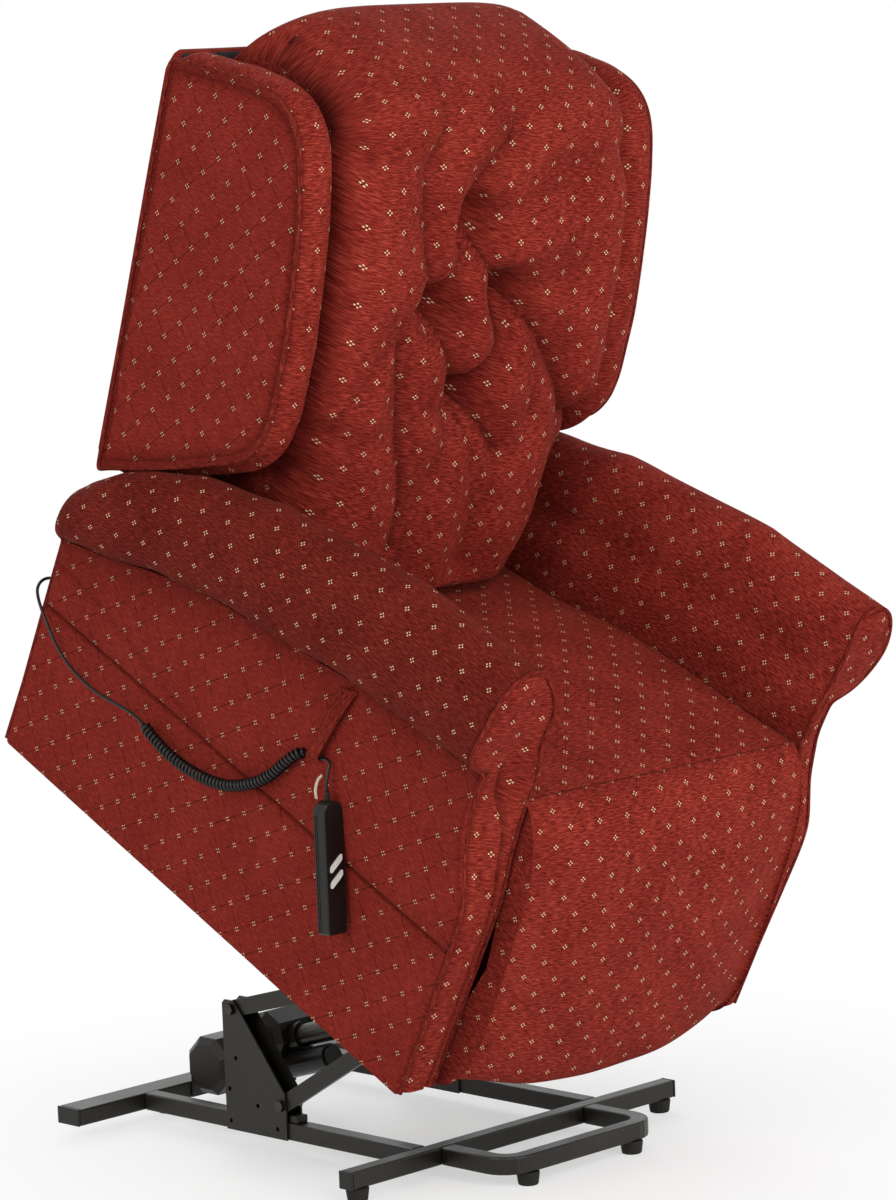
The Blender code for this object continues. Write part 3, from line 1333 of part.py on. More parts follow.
def build_handset(cord_end, cord_heading):
    """The handset hangs plumb from its lead, so it and the lead are modelled upright about the lead's top."""
    y, z = turned(np.array([cord_heading[1], cord_heading[2]]), TILT)
    heading = np.array([cord_heading[0], y, z])
    heading /= np.linalg.norm(heading)
    pivot = to_world(cord_end) + heading * SEAT_GAP
    hang = empty("handset_origin", tuple(pivot))
    x = HANDSET_X - pivot[0]
    bend = heading * 0.013 + np.array([-0.002, 0, -0.004])
    hang_y = bend[1] - 0.001
    route = [(0, 0, 0), tuple(heading * LEAD_TIP), tuple(heading * 0.006), tuple(bend)]
    route += [(x * 0.55, bend[1], -0.016), (x * 0.95, hang_y, -0.027)]
    route += [(x, hang_y, 0.006 - LEAD_DROP), (x, hang_y, -LEAD_DROP)]
    tube_curve("cord_lead", route, CORD_DIAMETER / 2, BLACK_PLASTIC, hang, tip=0.2)
    relief_foot = -LEAD_DROP - STRAIN_RELIEF_LENGTH
    middle = Matrix.Translation((x, hang_y, (relief_foot - LEAD_DROP - SEAT_GAP) / 2))
    length = STRAIN_RELIEF_LENGTH - SEAT_GAP
    round_piece("handset_strain_relief", middle, 0.0042, 0.0028, length, RUBBER, hang, 16)
    top = relief_foot - SEAT_GAP
    half_depth = HANDSET_DEPTH / 2
    front = handset_shell("handset_front", hang, x, top, hang_y, -half_depth, SHELL_SPLIT - SEAT_GAP)
    rear = handset_shell("handset_rear", hang, x, top, hang_y, half_depth, SHELL_SPLIT)
    cut_grip_grooves(rear, hang, x, top, hang_y)
    for name, drop in BUTTON_DROPS:
        build_button(name, front, hang, x, hang_y - half_depth, top - drop)


def handset_outline(x, top):
    """Straight sides, a low round crown and small lower corners."""
    half = HANDSET_WIDTH / 2
    foot = top - HANDSET_LENGTH
    outline = []
    for a in np.radians(np.linspace(0, 180, 9)):
        reach = half * math.cos(a) * (0.72 + 0.28 * abs(math.cos(a)))
        outline.append((x + reach, top - SHELL_CROWN + SHELL_CROWN * math.sin(a)))
    outline += [(x - half, foot + SHELL_EDGE), (x - half + SHELL_EDGE, foot)]
    return outline + [(x + half - SHELL_EDGE, foot), (x + half, foot + SHELL_EDGE)]


def handset_shell(name, parent, x, top, hang_y, face, split):
    """Half of the casing, from its rounded face to the split between the halves."""
    half_width, half_length = HANDSET_WIDTH / 2, HANDSET_LENGTH / 2
    middle = top - half_length
    step = face + math.copysign(SHELL_ROUND, split - face)
    rings = []
    for depth, inset in ((face, SHELL_ROUND), (step, 0.0), (split, 0.0)):
        across = 1 - inset / half_width
        along = 1 - inset / half_length
        ring = [
            (x + (px - x) * across, hang_y + depth, middle + (pz - middle) * along)
            for px, pz in handset_outline(x, top)
        ]
        rings.append(ring)
    return loft(name, rings, BLACK_PLASTIC, parent)


def cut_grip_grooves(rear, parent, x, top, hang_y):
    """Fine grooves down both sides of the rear half."""
    half = HANDSET_WIDTH / 2
    low, high = top - HANDSET_LENGTH - 0.004, top - 0.018
    for side, name in SIDES:
        x0, x1 = sorted((x + side * (half - GRIP_GROOVE_DEPTH), x + side * (half + 0.002)))
        for i, offset in enumerate(GRIP_GROOVES):
            y = hang_y + offset
            near, far = (x0, y - GRIP_GROOVE_HALF, low), (x1, y + GRIP_GROOVE_HALF, high)
            cut(rear, helper_box(f"{name}_grip_groove{i}", near, far, parent))


def button_outline(grow):
    """A lozenge with round corners, slanted up to the right: (x, z) points about its middle."""
    radius = BUTTON_CORNER + grow
    points = []
    for u, w in ((1, -1), (1, 1), (-1, 1), (-1, -1)):
        for turn in np.linspace(-45, 45, 4):
            a = math.radians(turn) + math.atan2(w, u)
            x = u * (BUTTON_HALF_LENGTH - BUTTON_CORNER) + radius * math.cos(a)
            z = w * (BUTTON_HALF_HEIGHT - BUTTON_CORNER) + radius * math.sin(a)
            points.append((x, z + x * math.tan(BUTTON_SLANT)))
    return points


def build_button(name, shell, parent, x, face_y, z):
    """A slanted lozenge that sinks into its own pocket in the front shell."""

    def slab(label, y0, y1, grow, keep):
        rings = [[(x + px, y, z + pz) for px, pz in button_outline(grow)] for y in (y0, y1)]
        return loft(label, rings, WHITE_PLASTIC, parent, keep)

    cut(shell, slab(name + "_pocket", face_y - 0.002, face_y + BUTTON_POCKET, BUTTON_GAP, True))
    foot = face_y + BUTTON_POCKET - BUTTON_TRAVEL - BUTTON_GAP
    button = slab(name, face_y - BUTTON_STAND, foot, 0.0, False)
    set_origin(button, (x, face_y, z))


build_tubes()
build_toe_loop()
build_feet()
build_side_brackets()
build_links()
build_torque_tube()
build_carriage()
build_actuator_bracket()
build_actuator()
build_power_unit()
build_seat_frame()
build_seat_cushion()
build_arms()
build_legrest()
build_outer_back()
build_back_frame()
build_wings()
build_back_cushion()
build_control_box()
build_grommet()
build_strap_loop()
build_handset(*build_cord())
bpy.context.view_layer.update()
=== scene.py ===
import math

import bmesh
import bpy
import numpy as np
from mathutils import Matrix, Vector


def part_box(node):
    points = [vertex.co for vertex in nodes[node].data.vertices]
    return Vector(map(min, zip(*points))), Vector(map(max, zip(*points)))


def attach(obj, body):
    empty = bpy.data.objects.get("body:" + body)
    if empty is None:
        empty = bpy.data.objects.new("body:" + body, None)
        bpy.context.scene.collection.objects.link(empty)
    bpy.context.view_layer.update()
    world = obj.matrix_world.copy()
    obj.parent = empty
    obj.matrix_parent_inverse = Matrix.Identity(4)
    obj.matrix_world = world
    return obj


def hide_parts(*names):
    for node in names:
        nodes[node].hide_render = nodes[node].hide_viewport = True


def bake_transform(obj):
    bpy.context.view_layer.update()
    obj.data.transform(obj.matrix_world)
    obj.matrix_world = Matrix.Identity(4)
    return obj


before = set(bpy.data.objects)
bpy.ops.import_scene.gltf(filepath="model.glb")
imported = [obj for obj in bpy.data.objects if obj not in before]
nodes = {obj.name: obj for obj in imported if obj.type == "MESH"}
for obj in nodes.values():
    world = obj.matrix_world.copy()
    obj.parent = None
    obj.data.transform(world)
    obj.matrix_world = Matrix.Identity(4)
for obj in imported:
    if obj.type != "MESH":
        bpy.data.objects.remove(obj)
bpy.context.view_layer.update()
print("frame loaded")

# The photo's camera, fitted over the straight tubes of the base.
cameraView = {
    "yaw": -45.1303,
    "pitch": 7.2952,
    "roll": -2.218,
    "place": (-4.3722, -4.3903, 1.5619),
    "focalPixels": 4501.24,
    "imageWidth": 896,
    "sensorWidth": 36,
}


def makeCamera():
    yaw, pitch, roll = (math.radians(cameraView[key]) for key in ("yaw", "pitch", "roll"))
    level = math.cos(pitch)
    look = Vector((-math.sin(yaw) * level, math.cos(yaw) * level, -math.sin(pitch)))
    right = Vector((math.cos(yaw), math.sin(yaw), 0))
    up = right.cross(look)
    turnedRight = math.cos(roll) * right + math.sin(roll) * up
    turnedUp = -math.sin(roll) * right + math.cos(roll) * up
    data = bpy.data.cameras.new("camera")
    data.sensor_fit = "HORIZONTAL"
    data.sensor_width = cameraView["sensorWidth"]
    data.lens = cameraView["focalPixels"] * cameraView["sensorWidth"] / cameraView["imageWidth"]
    data.clip_end = 100
    camera = bpy.data.objects.new("camera", data)
    bpy.context.scene.collection.objects.link(camera)
    turn = Matrix((turnedRight, turnedUp, -look)).transposed().to_4x4()
    camera.matrix_world = Matrix.Translation(cameraView["place"]) @ turn
    bpy.context.scene.camera = camera


# Each lamp has a place, a size, watts and a colour. The floor fades to white between two distances.
studio = {
    "worldStrength": 0.47,
    "floorColor": (0.93, 0.93, 0.925),
    "floorFade": (-0.9, 1.25),
    "floorSize": 12,
    "aim": (0, 0, 0.8),
    "lamps": {
        "key": ((-1.4, -4.4, 3.6), 2.6, 82, (1.0, 0.975, 0.94)),
        "front": ((0.7, -5.2, 1.1), 3.0, 97, (1.0, 0.98, 0.95)),
        "side": ((-4.6, -0.6, 2.4), 3.0, 80, (1.0, 0.98, 0.96)),
        "back": ((2.6, 3.2, 3.6), 2.6, 60, (1.0, 1.0, 1.0)),
    },
}


def seenDirectly(g):
    # 1 for rays that show the backdrop: from the camera, off gloss or through glass.
    path = g.add("ShaderNodeLightPath")
    rays = g.math("MAXIMUM", path.outputs["Is Camera Ray"], path.outputs["Is Glossy Ray"])
    return g.math("MAXIMUM", rays, path.outputs["Is Transmission Ray"])


def makeStudio():
    scene = bpy.context.scene
    scene.view_settings.view_transform = "Standard"
    world = bpy.data.worlds.new("studio_world")
    world.use_nodes = True
    scene.world = world
    g = Graph(world.node_tree)
    strength = g.add("ShaderNodeMapRange")
    strength = g.fill(strength, seenDirectly(g), 0.0, 1.0, studio["worldStrength"], 1.0)
    g.put(world.node_tree.nodes["Background"], {"Color": (1, 1, 1, 1), "Strength": strength})
    for name, (place, size, watts, color) in studio["lamps"].items():
        data = bpy.data.lights.new(name + "_light", "AREA")
        data.shape = "DISK"
        data.size = size
        data.energy = watts
        data.color = color
        lamp = bpy.data.objects.new(name + "_light", data)
        lamp.location = place
        aim = Vector(studio["aim"]) - Vector(place)
        lamp.rotation_euler = aim.to_track_quat("-Z", "Y").to_euler()
        scene.collection.objects.link(lamp)


class Graph:
    # Short calls for the nodes of one shader tree.
    def __init__(self, tree):
        self.tree = tree

    def add(self, kind, **values):
        node = self.tree.nodes.new(kind)
        for key, value in values.items():
            setattr(node, key, value)
        return node

    def join(self, a, b):
        self.tree.links.new(a, b)

    def give(self, socket, term):
        if hasattr(term, "is_output"):
            self.join(term, socket)
        else:
            socket.default_value = term

    def fill(self, node, *terms):
        for socket, term in zip(node.inputs, terms):
            self.give(socket, term)
        return node.outputs[0]

    def put(self, node, terms):
        for key, term in terms.items():
            self.give(node.inputs[key], term)
        return node.outputs[0] if node.outputs else None

    def math(self, operation, *terms, clamp=False):
        return self.fill(self.add("ShaderNodeMath", operation=operation, use_clamp=clamp), *terms)

    def noise(self, vector, scale, detail=2.0, roughness=0.5):
        terms = {"Vector": vector, "Scale": scale, "Detail": detail, "Roughness": roughness}
        return self.put(self.add("ShaderNodeTexNoise"), terms)

    def ramp(self, value, stops):
        node = self.add("ShaderNodeValToRGB")
        elements = node.color_ramp.elements
        while len(elements) < len(stops):
            elements.new(0.5)
        for element, (place, color) in zip(elements, stops):
            element.position = place
            element.color = (*color, 1)
        self.join(value, node.inputs["Fac"])
        return node.outputs["Color"]

    def mix(self, factor, a, b):
        node = self.add("ShaderNodeMix", data_type="RGBA")
        self.give(node.inputs[0], factor)
        self.give(node.inputs[6], a if hasattr(a, "is_output") else (*a, 1))
        self.give(node.inputs[7], b if hasattr(b, "is_output") else (*b, 1))
        return node.outputs[2]

    def range(self, value, low, high, outLow=0.0, outHigh=1.0):
        node = self.add("ShaderNodeMapRange", interpolation_type="SMOOTHSTEP")
        return self.fill(node, value, low, high, outLow, outHigh)

    def scaled(self, vector, factors):
        return self.fill(self.add("ShaderNodeVectorMath", operation="MULTIPLY"), vector, factors)

    def bump(self, height, strength, distance):
        terms = {"Strength": strength, "Distance": distance, "Height": height}
        return self.put(self.add("ShaderNodeBump"), terms)


def newMaterial(name):
    material = bpy.data.materials.new(name)
    material.use_nodes = True
    return material, Graph(material.node_tree), material.node_tree.nodes["Principled BSDF"]


clothLook = {
    "dark": (0.080, 0.0060, 0.0042),
    "middle": (0.205, 0.0190, 0.0130),
    "light": (0.400, 0.0560, 0.0350),
    "motif": (0.80, 0.57, 0.35),
    "sheen": (0.95, 0.32, 0.22),
    "motifAcross": 0.0505,
    "motifUp": 0.0525,
    "dotReach": 0.0027,
    "dotRadius": 0.00104,
    "slubLength": 0.0125,
    "slubHeight": 0.00175,
    "fineScale": (180, 1250, 1),
    "ribPitch": 0.0030,
    "bumpHeight": 0.0011,
}


def clothGroup():
    # Red slubs along the weave, motifs of four dots in staggered rows and a lattice through them.
    look = clothLook
    tree = bpy.data.node_groups.new("chenille", "ShaderNodeTree")
    tree.interface.new_socket("Place", in_out="INPUT", socket_type="NodeSocketVector")
    for name in ("Slub", "Motif", "Lattice", "Height"):
        tree.interface.new_socket(name, in_out="OUTPUT", socket_type="NodeSocketFloat")
    g = Graph(tree)
    place = g.add("NodeGroupInput").outputs[0]
    result = g.add("NodeGroupOutput")
    split = g.add("ShaderNodeSeparateXYZ")
    g.join(place, split.inputs[0])
    u, v = split.outputs[0], split.outputs[1]
    slubScale = (1 / look["slubLength"], 1 / look["slubHeight"], 1)
    streak = g.noise(g.scaled(place, slubScale), 1.0, 3.0, 0.62)
    fine = g.noise(g.scaled(place, look["fineScale"]), 1.0, 2.0, 0.6)
    patch = g.noise(place, 11.0, 2.0, 0.5)
    slub = g.math("ADD", g.math("MULTIPLY", streak, 0.64), g.math("MULTIPLY", fine, 0.24))
    slub = g.math("ADD", slub, g.math("MULTIPLY", patch, 0.12))
    slub = g.range(slub, 0.33, 0.67)
    across = g.math("DIVIDE", u, look["motifAcross"])
    up = g.math("DIVIDE", v, look["motifUp"])
    nearest = None
    for shift in (0.0, 0.5):
        sides = []
        for cell, size in ((across, look["motifAcross"]), (up, look["motifUp"])):
            part = g.math("SUBTRACT", g.math("FRACT", g.math("ADD", cell, shift)), 0.5)
            sides.append(g.math("MULTIPLY", g.math("ABSOLUTE", part), size))
        for first, second in (sides, sides[::-1]):
            reach = g.math("SUBTRACT", first, look["dotReach"])
            squares = (g.math("MULTIPLY", reach, reach), g.math("MULTIPLY", second, second))
            apart = g.math("SQRT", g.math("ADD", *squares))
            nearest = apart if nearest is None else g.math("MINIMUM", nearest, apart)
    motif = g.range(nearest, look["dotRadius"] * 0.75, look["dotRadius"] * 1.3, 1.0, 0.0)
    lines = []
    for operation in ("ADD", "SUBTRACT"):
        t = g.math("FRACT", g.math("ADD", g.math(operation, across, up), 0.5))
        lines.append(g.math("ABSOLUTE", g.math("SUBTRACT", t, 0.5)))
    lattice = g.range(g.math("MINIMUM", *lines), 0.007, 0.024, 1.0, 0.0)
    lattice = g.math("MULTIPLY", lattice, g.range(g.noise(place, 60.0), 0.35, 0.6))
    rib = g.math("SINE", g.math("MULTIPLY", v, 2 * math.pi / look["ribPitch"]))
    height = g.math("ADD", g.math("MULTIPLY", slub, 0.8), g.math("MULTIPLY", rib, 0.10))
    height = g.math("ADD", height, g.math("MULTIPLY", motif, 0.35))
    height = g.math("SUBTRACT", height, g.math("MULTIPLY", lattice, 0.35))
    outputs = {"Slub": slub, "Motif": motif, "Lattice": lattice, "Height": height}
    g.put(result, outputs)
    return tree


def clothMaterial(name, group, shade=1.0, motifs=1.0, lattice=0.40, contrast=1.0):
    look = clothLook
    material, g, shader = newMaterial(name)
    place = g.add("ShaderNodeUVMap", uv_map="UVMap").outputs[0]
    weave = g.add("ShaderNodeGroup", node_tree=group)
    g.put(weave, {"Place": place})
    tones = []
    for key in ("dark", "middle", "light"):
        pair = zip(look[key], look["middle"])
        tones.append(tuple(shade * (m + (c - m) * contrast) for c, m in pair))
    color = g.ramp(weave.outputs["Slub"], ((0.0, tones[0]), (0.5, tones[1]), (1.0, tones[2])))
    lines = g.math("MULTIPLY", weave.outputs["Lattice"], lattice)
    color = g.mix(lines, color, tuple(0.25 * c for c in tones[0]))
    color = g.mix(g.math("MULTIPLY", weave.outputs["Motif"], motifs), color, look["motif"])
    # The shade attribute darkens the colour: painted shade in seams, tufts, creases, gaps between parts
    # and under the roll.
    depth = g.add("ShaderNodeAttribute", attribute_name="Shade").outputs["Fac"]
    depth = g.math("MULTIPLY", depth, 0.86, clamp=True)
    color = g.mix(depth, color, tuple(0.16 * c for c in tones[1]))
    g.put(shader, {
        "Base Color": color,
        "Normal": g.bump(weave.outputs["Height"], 0.6, look["bumpHeight"]),
        "Roughness": 0.92,
        "Specular IOR Level": 0.06,
        "Sheen Weight": 0.055,
        "Sheen Roughness": 0.32,
        "Sheen Tint": (*look["sheen"], 1),
    })
    return material


# Colour, lighter colour, roughness, metallic, grain per metre, bump height, coat and gloss.
hardLooks = {
    "satin_black_paint": (
        (0.0055, 0.0045, 0.0030), (0.016, 0.013, 0.008), 0.40, 0.0, 160, 0.00015, 0.06, 0.32),
    "black_moulded_plastic": (
        (0.006, 0.005, 0.004), (0.013, 0.011, 0.009), 0.38, 0.0, 900, 0.00012, 0.0, 0.30),
    "black_rubber": (
        (0.008, 0.0075, 0.006), (0.020, 0.018, 0.015), 0.75, 0.0, 400, 0.0002, 0.0, 0.25),
    "ground_steel": ((0.20, 0.20, 0.19), (0.34, 0.33, 0.31), 0.34, 1.0, 300, 0.0001, 0.0, 0.5),
    "dark_steel": ((0.045, 0.042, 0.036), (0.09, 0.084, 0.072), 0.38, 1.0, 300, 0.0001, 0.0, 0.5),
    "cord_jacket": ((0.005, 0.0045, 0.004), (0.010, 0.009, 0.008), 0.30, 0.0, 700, 0.0001, 0.0, 0.30),
    "white_button_plastic": (
        (0.72, 0.72, 0.69), (0.84, 0.84, 0.80), 0.38, 0.0, 500, 0.0001, 0.0, 0.5),
    "black_lining": ((0.012, 0.012, 0.012), (0.03, 0.03, 0.03), 0.95, 0.0, 800, 0.0004, 0.0, 0.5),
    "cream_string": ((0.55, 0.46, 0.34), (0.72, 0.64, 0.50), 0.85, 0.0, 900, 0.0002, 0.0, 0.5),
}
plywoodLook = {"dark": (0.36, 0.22, 0.11), "light": (0.62, 0.45, 0.27), "grain": (90, 6, 90)}


def hardMaterial(name):
    color, lighter, roughness, metallic, grain, bump, coat, gloss = hardLooks[name]
    material, g, shader = newMaterial(name)
    place = g.add("ShaderNodeTexCoord").outputs["Object"]
    fine = g.noise(place, grain, 3.0, 0.6)
    broad = g.noise(place, 7.0, 2.0, 0.5)
    blend = g.math("ADD", g.math("MULTIPLY", fine, 0.5), g.math("MULTIPLY", broad, 0.5))
    g.put(shader, {
        "Base Color": g.mix(g.range(blend, 0.35, 0.68), color, lighter),
        "Roughness": g.range(broad, 0.3, 0.7, roughness * 0.85, min(1.0, roughness * 1.2)),
        "Normal": g.bump(fine, 0.4, bump),
        "Metallic": metallic,
        "Coat Weight": coat,
        "Specular IOR Level": gloss,
    })
    return material


def plywoodMaterial():
    look = plywoodLook
    material, g, shader = newMaterial("birch_plywood")
    place = g.add("ShaderNodeTexCoord").outputs["Object"]
    grain = g.noise(g.scaled(place, look["grain"]), 1.0, 4.0, 0.6)
    color = g.ramp(grain, ((0.3, look["dark"]), (0.7, look["light"])))
    g.put(shader, {"Base Color": color, "Roughness": 0.7})
    return material


# The chair's own frame: x across, y from the front of the arms to the rear, z up from their foot.
# The lift has turned and moved it in the world.
chairFrame = {"tilt": math.radians(27.95), "y": -0.3026 + 0.057, "z": 0.1665}


def toWorld(points):
    p = np.asarray(points, float)
    c, s = math.cos(chairFrame["tilt"]), math.sin(chairFrame["tilt"])
    y = chairFrame["y"] + c * p[..., 1] - s * p[..., 2]
    z = chairFrame["z"] + s * p[..., 1] + c * p[..., 2]
    return np.stack([p[..., 0], y, z], -1)


def stacked(*parts):
    # Coordinates, spread to a common shape and joined along a last axis.
    return np.stack(np.broadcast_arrays(*parts), -1)


def smoothStep(t):
    t = np.clip(t, 0, 1)
    return t * t * (3 - 2 * t)


def fall(distance, width):
    return np.exp(-np.abs(distance) / width)


def bell(distance, width):
    return np.exp(-((distance / width) ** 2))


def rounding(t):
    # How far a quarter circle of radius 1 has dropped at t.
    return 1 - np.sqrt(1 - np.clip(t, 0, 1) ** 2)


def crowded(count):
    # Places from -1 to 1 that lie closer together near the ends.
    return np.sin(np.linspace(-1, 1, count) * math.pi / 2)


def millimetres(rows):
    return np.array(rows) / 1000


class Shell:
    # Grids of points in the chair's frame, joined into one mesh with a map in metres.
    def __init__(self):
        self.points, self.faces, self.maps, self.slots, self.shades = [], [], [], [], []
        self.count = 0

    def grid(self, points, uv, wrap=False, flip=False, slot=0, shade=0.0):
        rows, cols = points.shape[:2]
        i, j = np.meshgrid(np.arange(rows - 1), np.arange(cols if wrap else cols - 1), indexing="ij")
        quads = []
        for wide, after in ((cols, (j + 1) % cols), (uv.shape[1], j + 1)):
            corners = [i * wide + j, i * wide + after, (i + 1) * wide + after, (i + 1) * wide + j]
            corners = np.stack(corners, -1).reshape(-1, 4)
            quads.append(corners[:, ::-1] if flip else corners)
        self.points.append(points.reshape(-1, 3))
        self.faces.append(quads[0] + self.count)
        self.maps.append(uv.reshape(-1, 2)[quads[1].ravel()])
        self.slots.append(np.full(len(quads[0]), slot))
        self.shades.append(np.broadcast_to(shade, (rows, cols)).reshape(-1))
        self.count += rows * cols

    def build(self, name, materials, merge=1e-5, place=toWorld):
        mesh = bpy.data.meshes.new(name)
        points = place(np.vstack(self.points))
        mesh.from_pydata(points.tolist(), [], np.vstack(self.faces).tolist())
        layer = mesh.uv_layers.new(name="UVMap")
        layer.data.foreach_set("uv", np.vstack(self.maps).astype(np.float32).ravel())
        # Each point keeps a shade value, for the painted shade in the cloth.
        layer = mesh.attributes.new("Shade", "FLOAT", "POINT")
        shade = np.clip(np.concatenate(self.shades), 0, 1)
        layer.data.foreach_set("value", shade.astype(np.float32))
        slots = np.concatenate(self.slots).astype(np.int32)
        mesh.polygons.foreach_set("material_index", slots)
        mesh.polygons.foreach_set("use_smooth", np.ones(len(slots), bool))
        for material in materials:
            mesh.materials.append(material)
        obj = bpy.data.objects.new(name, mesh)
        bpy.context.scene.collection.objects.link(obj)
        if merge:
            bm = bmesh.new()
            bm.from_mesh(mesh)
            bmesh.ops.remove_doubles(bm, verts=bm.verts, dist=merge)
            bmesh.ops.dissolve_degenerate(bm, dist=merge, edges=bm.edges)
            bm.to_mesh(mesh)
            bm.free()
        mesh.validate()
        return obj


def lengths(line):
    return np.concatenate([[0], np.cumsum(np.linalg.norm(np.diff(line, axis=0), axis=1))])


def resample(line, count, closed=False):
    line = np.asarray(line, float)
    if closed:
        line = np.vstack([line, line[:1]])
    steps = lengths(line)
    wanted = np.linspace(0, steps[-1], count + 1 if closed else count)
    if closed:
        wanted = wanted[:-1]
    return np.stack([np.interp(wanted, steps, line[:, k]) for k in range(line.shape[1])], 1)


def softened(line, times, closed=False):
    line = np.array(line, float)
    for _ in range(times):
        mean = (np.roll(line, 1, 0) + 2 * line + np.roll(line, -1, 0)) / 4
        if not closed:
            mean[0], mean[-1] = line[0], line[-1]
        line = mean
    return line


def catmull(knots, count):
    # A Catmull-Rom curve through the knots, as points at even steps.
    knots = np.asarray(knots, float)
    ends = np.vstack([2 * knots[0] - knots[1], knots, 2 * knots[-1] - knots[-2]])
    fine = []
    for i in range(len(knots) - 1):
        a, b, c, d = ends[i : i + 4]
        for t in np.linspace(0, 1, 24, endpoint=False):
            square, cube = 2 * a - 5 * b + 4 * c - d, 3 * b - a - 3 * c + d
            fine.append(0.5 * (2 * b + (c - a) * t + square * t * t + cube * t**3))
    fine.append(knots[-1])
    return resample(fine, count)


def waves(a, b, seed, period, count=7):
    # A smooth field from about -1 to 1: sines in seeded directions.
    rng = np.random.default_rng(seed)
    total = 0
    for _ in range(count):
        turn = rng.uniform(0, 2 * math.pi)
        rate = 2 * math.pi / (period * rng.uniform(0.7, 1.5))
        along = a * math.cos(turn) + b * math.sin(turn)
        total = total + np.sin(rate * along + rng.uniform(0, 7))
    return total / count * 1.6


def headings(line):
    heading = np.gradient(line, axis=0)
    return heading / np.linalg.norm(heading, axis=1)[:, None]


def normalsOf(points):
    normal = np.cross(np.gradient(points, axis=0), np.gradient(points, axis=1))
    return normal / np.maximum(np.linalg.norm(normal, axis=2), 1e-12)[..., None]


def sweepFrames(line):
    # Two directions across the line at each point, carried along it without twist.
    heading = headings(line)
    side = np.cross(heading[0], (0.3, 0.5, 0.8))
    side /= np.linalg.norm(side)
    sides = []
    for h in heading:
        side = side - h * (side @ h)
        side = side / np.linalg.norm(side)
        sides.append(side)
    sides = np.array(sides)
    return sides, np.cross(heading, sides)


def tubeGrid(line, radius, around=12, closed=False):
    line = np.vstack([line, line[:1]]) if closed else np.asarray(line, float)
    sides, others = sweepFrames(line)
    turns = np.linspace(0, 2 * math.pi, around, endpoint=False)[None, :, None]
    ring = np.cos(turns) * sides[:, None] + np.sin(turns) * others[:, None]
    turn = np.linspace(0, 2 * math.pi * radius, around + 1)
    return line[:, None] + radius * ring, stacked(lengths(line)[:, None], turn[None])


def closedEnds(points, uv, steps=3):
    # Rounds the ends of a tube by rings that shrink to its middle.
    first, last = points[0], points[-1]
    sizes = np.linspace(0, 1, steps + 1)[:-1]
    before = [first.mean(0) + (first - first.mean(0)) * s for s in sizes]
    after = [last.mean(0) + (last - last.mean(0)) * s for s in np.linspace(1, 0, steps + 1)[1:]]
    points = np.concatenate([np.array(before), points, np.array(after)])
    uv = np.concatenate([np.repeat(uv[:1], steps, 0), uv, np.repeat(uv[-1:], steps, 0)])
    return points, uv


def upholster(piece, node, body):
    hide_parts(node)
    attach(piece, body)


def makeWelt(name, tube, body):
    welt = Shell()
    welt.grid(*tube, wrap=True)
    piece = welt.build(name, [plainCloth])
    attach(piece, body)


makeCamera()
makeStudio()
chenille = clothGroup()
cloth = clothMaterial("red_chenille", chenille)
# A darker copy of the cloth, as painted shade for the left arm's roll.
shadedRollCloth = clothMaterial("red_chenille_roll_painted_shade", chenille, 0.62, lattice=0.25, contrast=0.85)
panelCloth = clothMaterial("red_chenille_panel", chenille, 0.96, 0.7, 0.85, 0.5)
facingCloth = clothMaterial("red_chenille_facing", chenille, 0.95, lattice=0.2)
plainCloth = clothMaterial("red_chenille_plain", chenille, 0.74, motifs=0.0, lattice=0.0)
hard = {name: hardMaterial(name) for name in hardLooks}
print("camera, lights and materials made")

# The cord leaves the grommet, bends along the arm, curls up to the strap and hangs on from there.
# Its routes are in millimetres.
cordForm = {
    "diameter": 0.0046,
    "curls": 50,
    "curlPoints": 16,
    "curlDiameter": 0.0170,
    "throughStrap": 0.034,
    "strapHeading": (0.0, -0.940, 0.342),
    "hangX": -0.3655,
    "tail": (
        (-318, 886.6, 256), (-319, 896, 255), (-326, 901, 252), (-336, 899, 248), (-345, 891.5, 243.5),
        (-351, 880, 238), (-354, 866, 230), (-355, 846, 217), (-355.5, 820, 202), (-356, 790, 190.5),
        (-356, 760, 185), (-356.5, 730, 184), (-357, 700, 187), (-357.5, 672, 192.5),
        (-358, 645, 197.5), (-358.5, 625, 199), (-359, 617, 198.6),
    ),
    "curlRoute": (
        (-359, 613, 198.2), (-359.5, 560, 190), (-360, 500, 193.5), (-360, 440, 211),
        (-360, 395, 242), (-360, 368, 272), (-360, 352, 300), (-359, 341, 320),
        (-357, 333, 331), (-355.6, 324.5, 336),
    ),
}


def curlLine():
    # centre + r (cos(p) side + sin(p) other), with r growing from 0 over the first and last curl.
    form = cordForm
    count = form["curls"] * form["curlPoints"] + 1
    centers = catmull(millimetres(form["curlRoute"]), count)
    tangent = headings(centers)
    side = np.tile([1.0, 0, 0], (count, 1))
    side -= tangent * np.sum(side * tangent, axis=1)[:, None]
    side /= np.linalg.norm(side, axis=1)[:, None]
    other = np.cross(tangent, side)
    phase = np.linspace(0, 2 * math.pi * form["curls"], count)[:, None]
    order = np.arange(count)
    grow = np.clip(np.minimum(order, order[::-1]) / form["curlPoints"], 0, 1)[:, None]
    radius = (form["curlDiameter"] - form["diameter"]) / 2 * grow
    return centers + radius * (np.cos(phase) * side + np.sin(phase) * other)


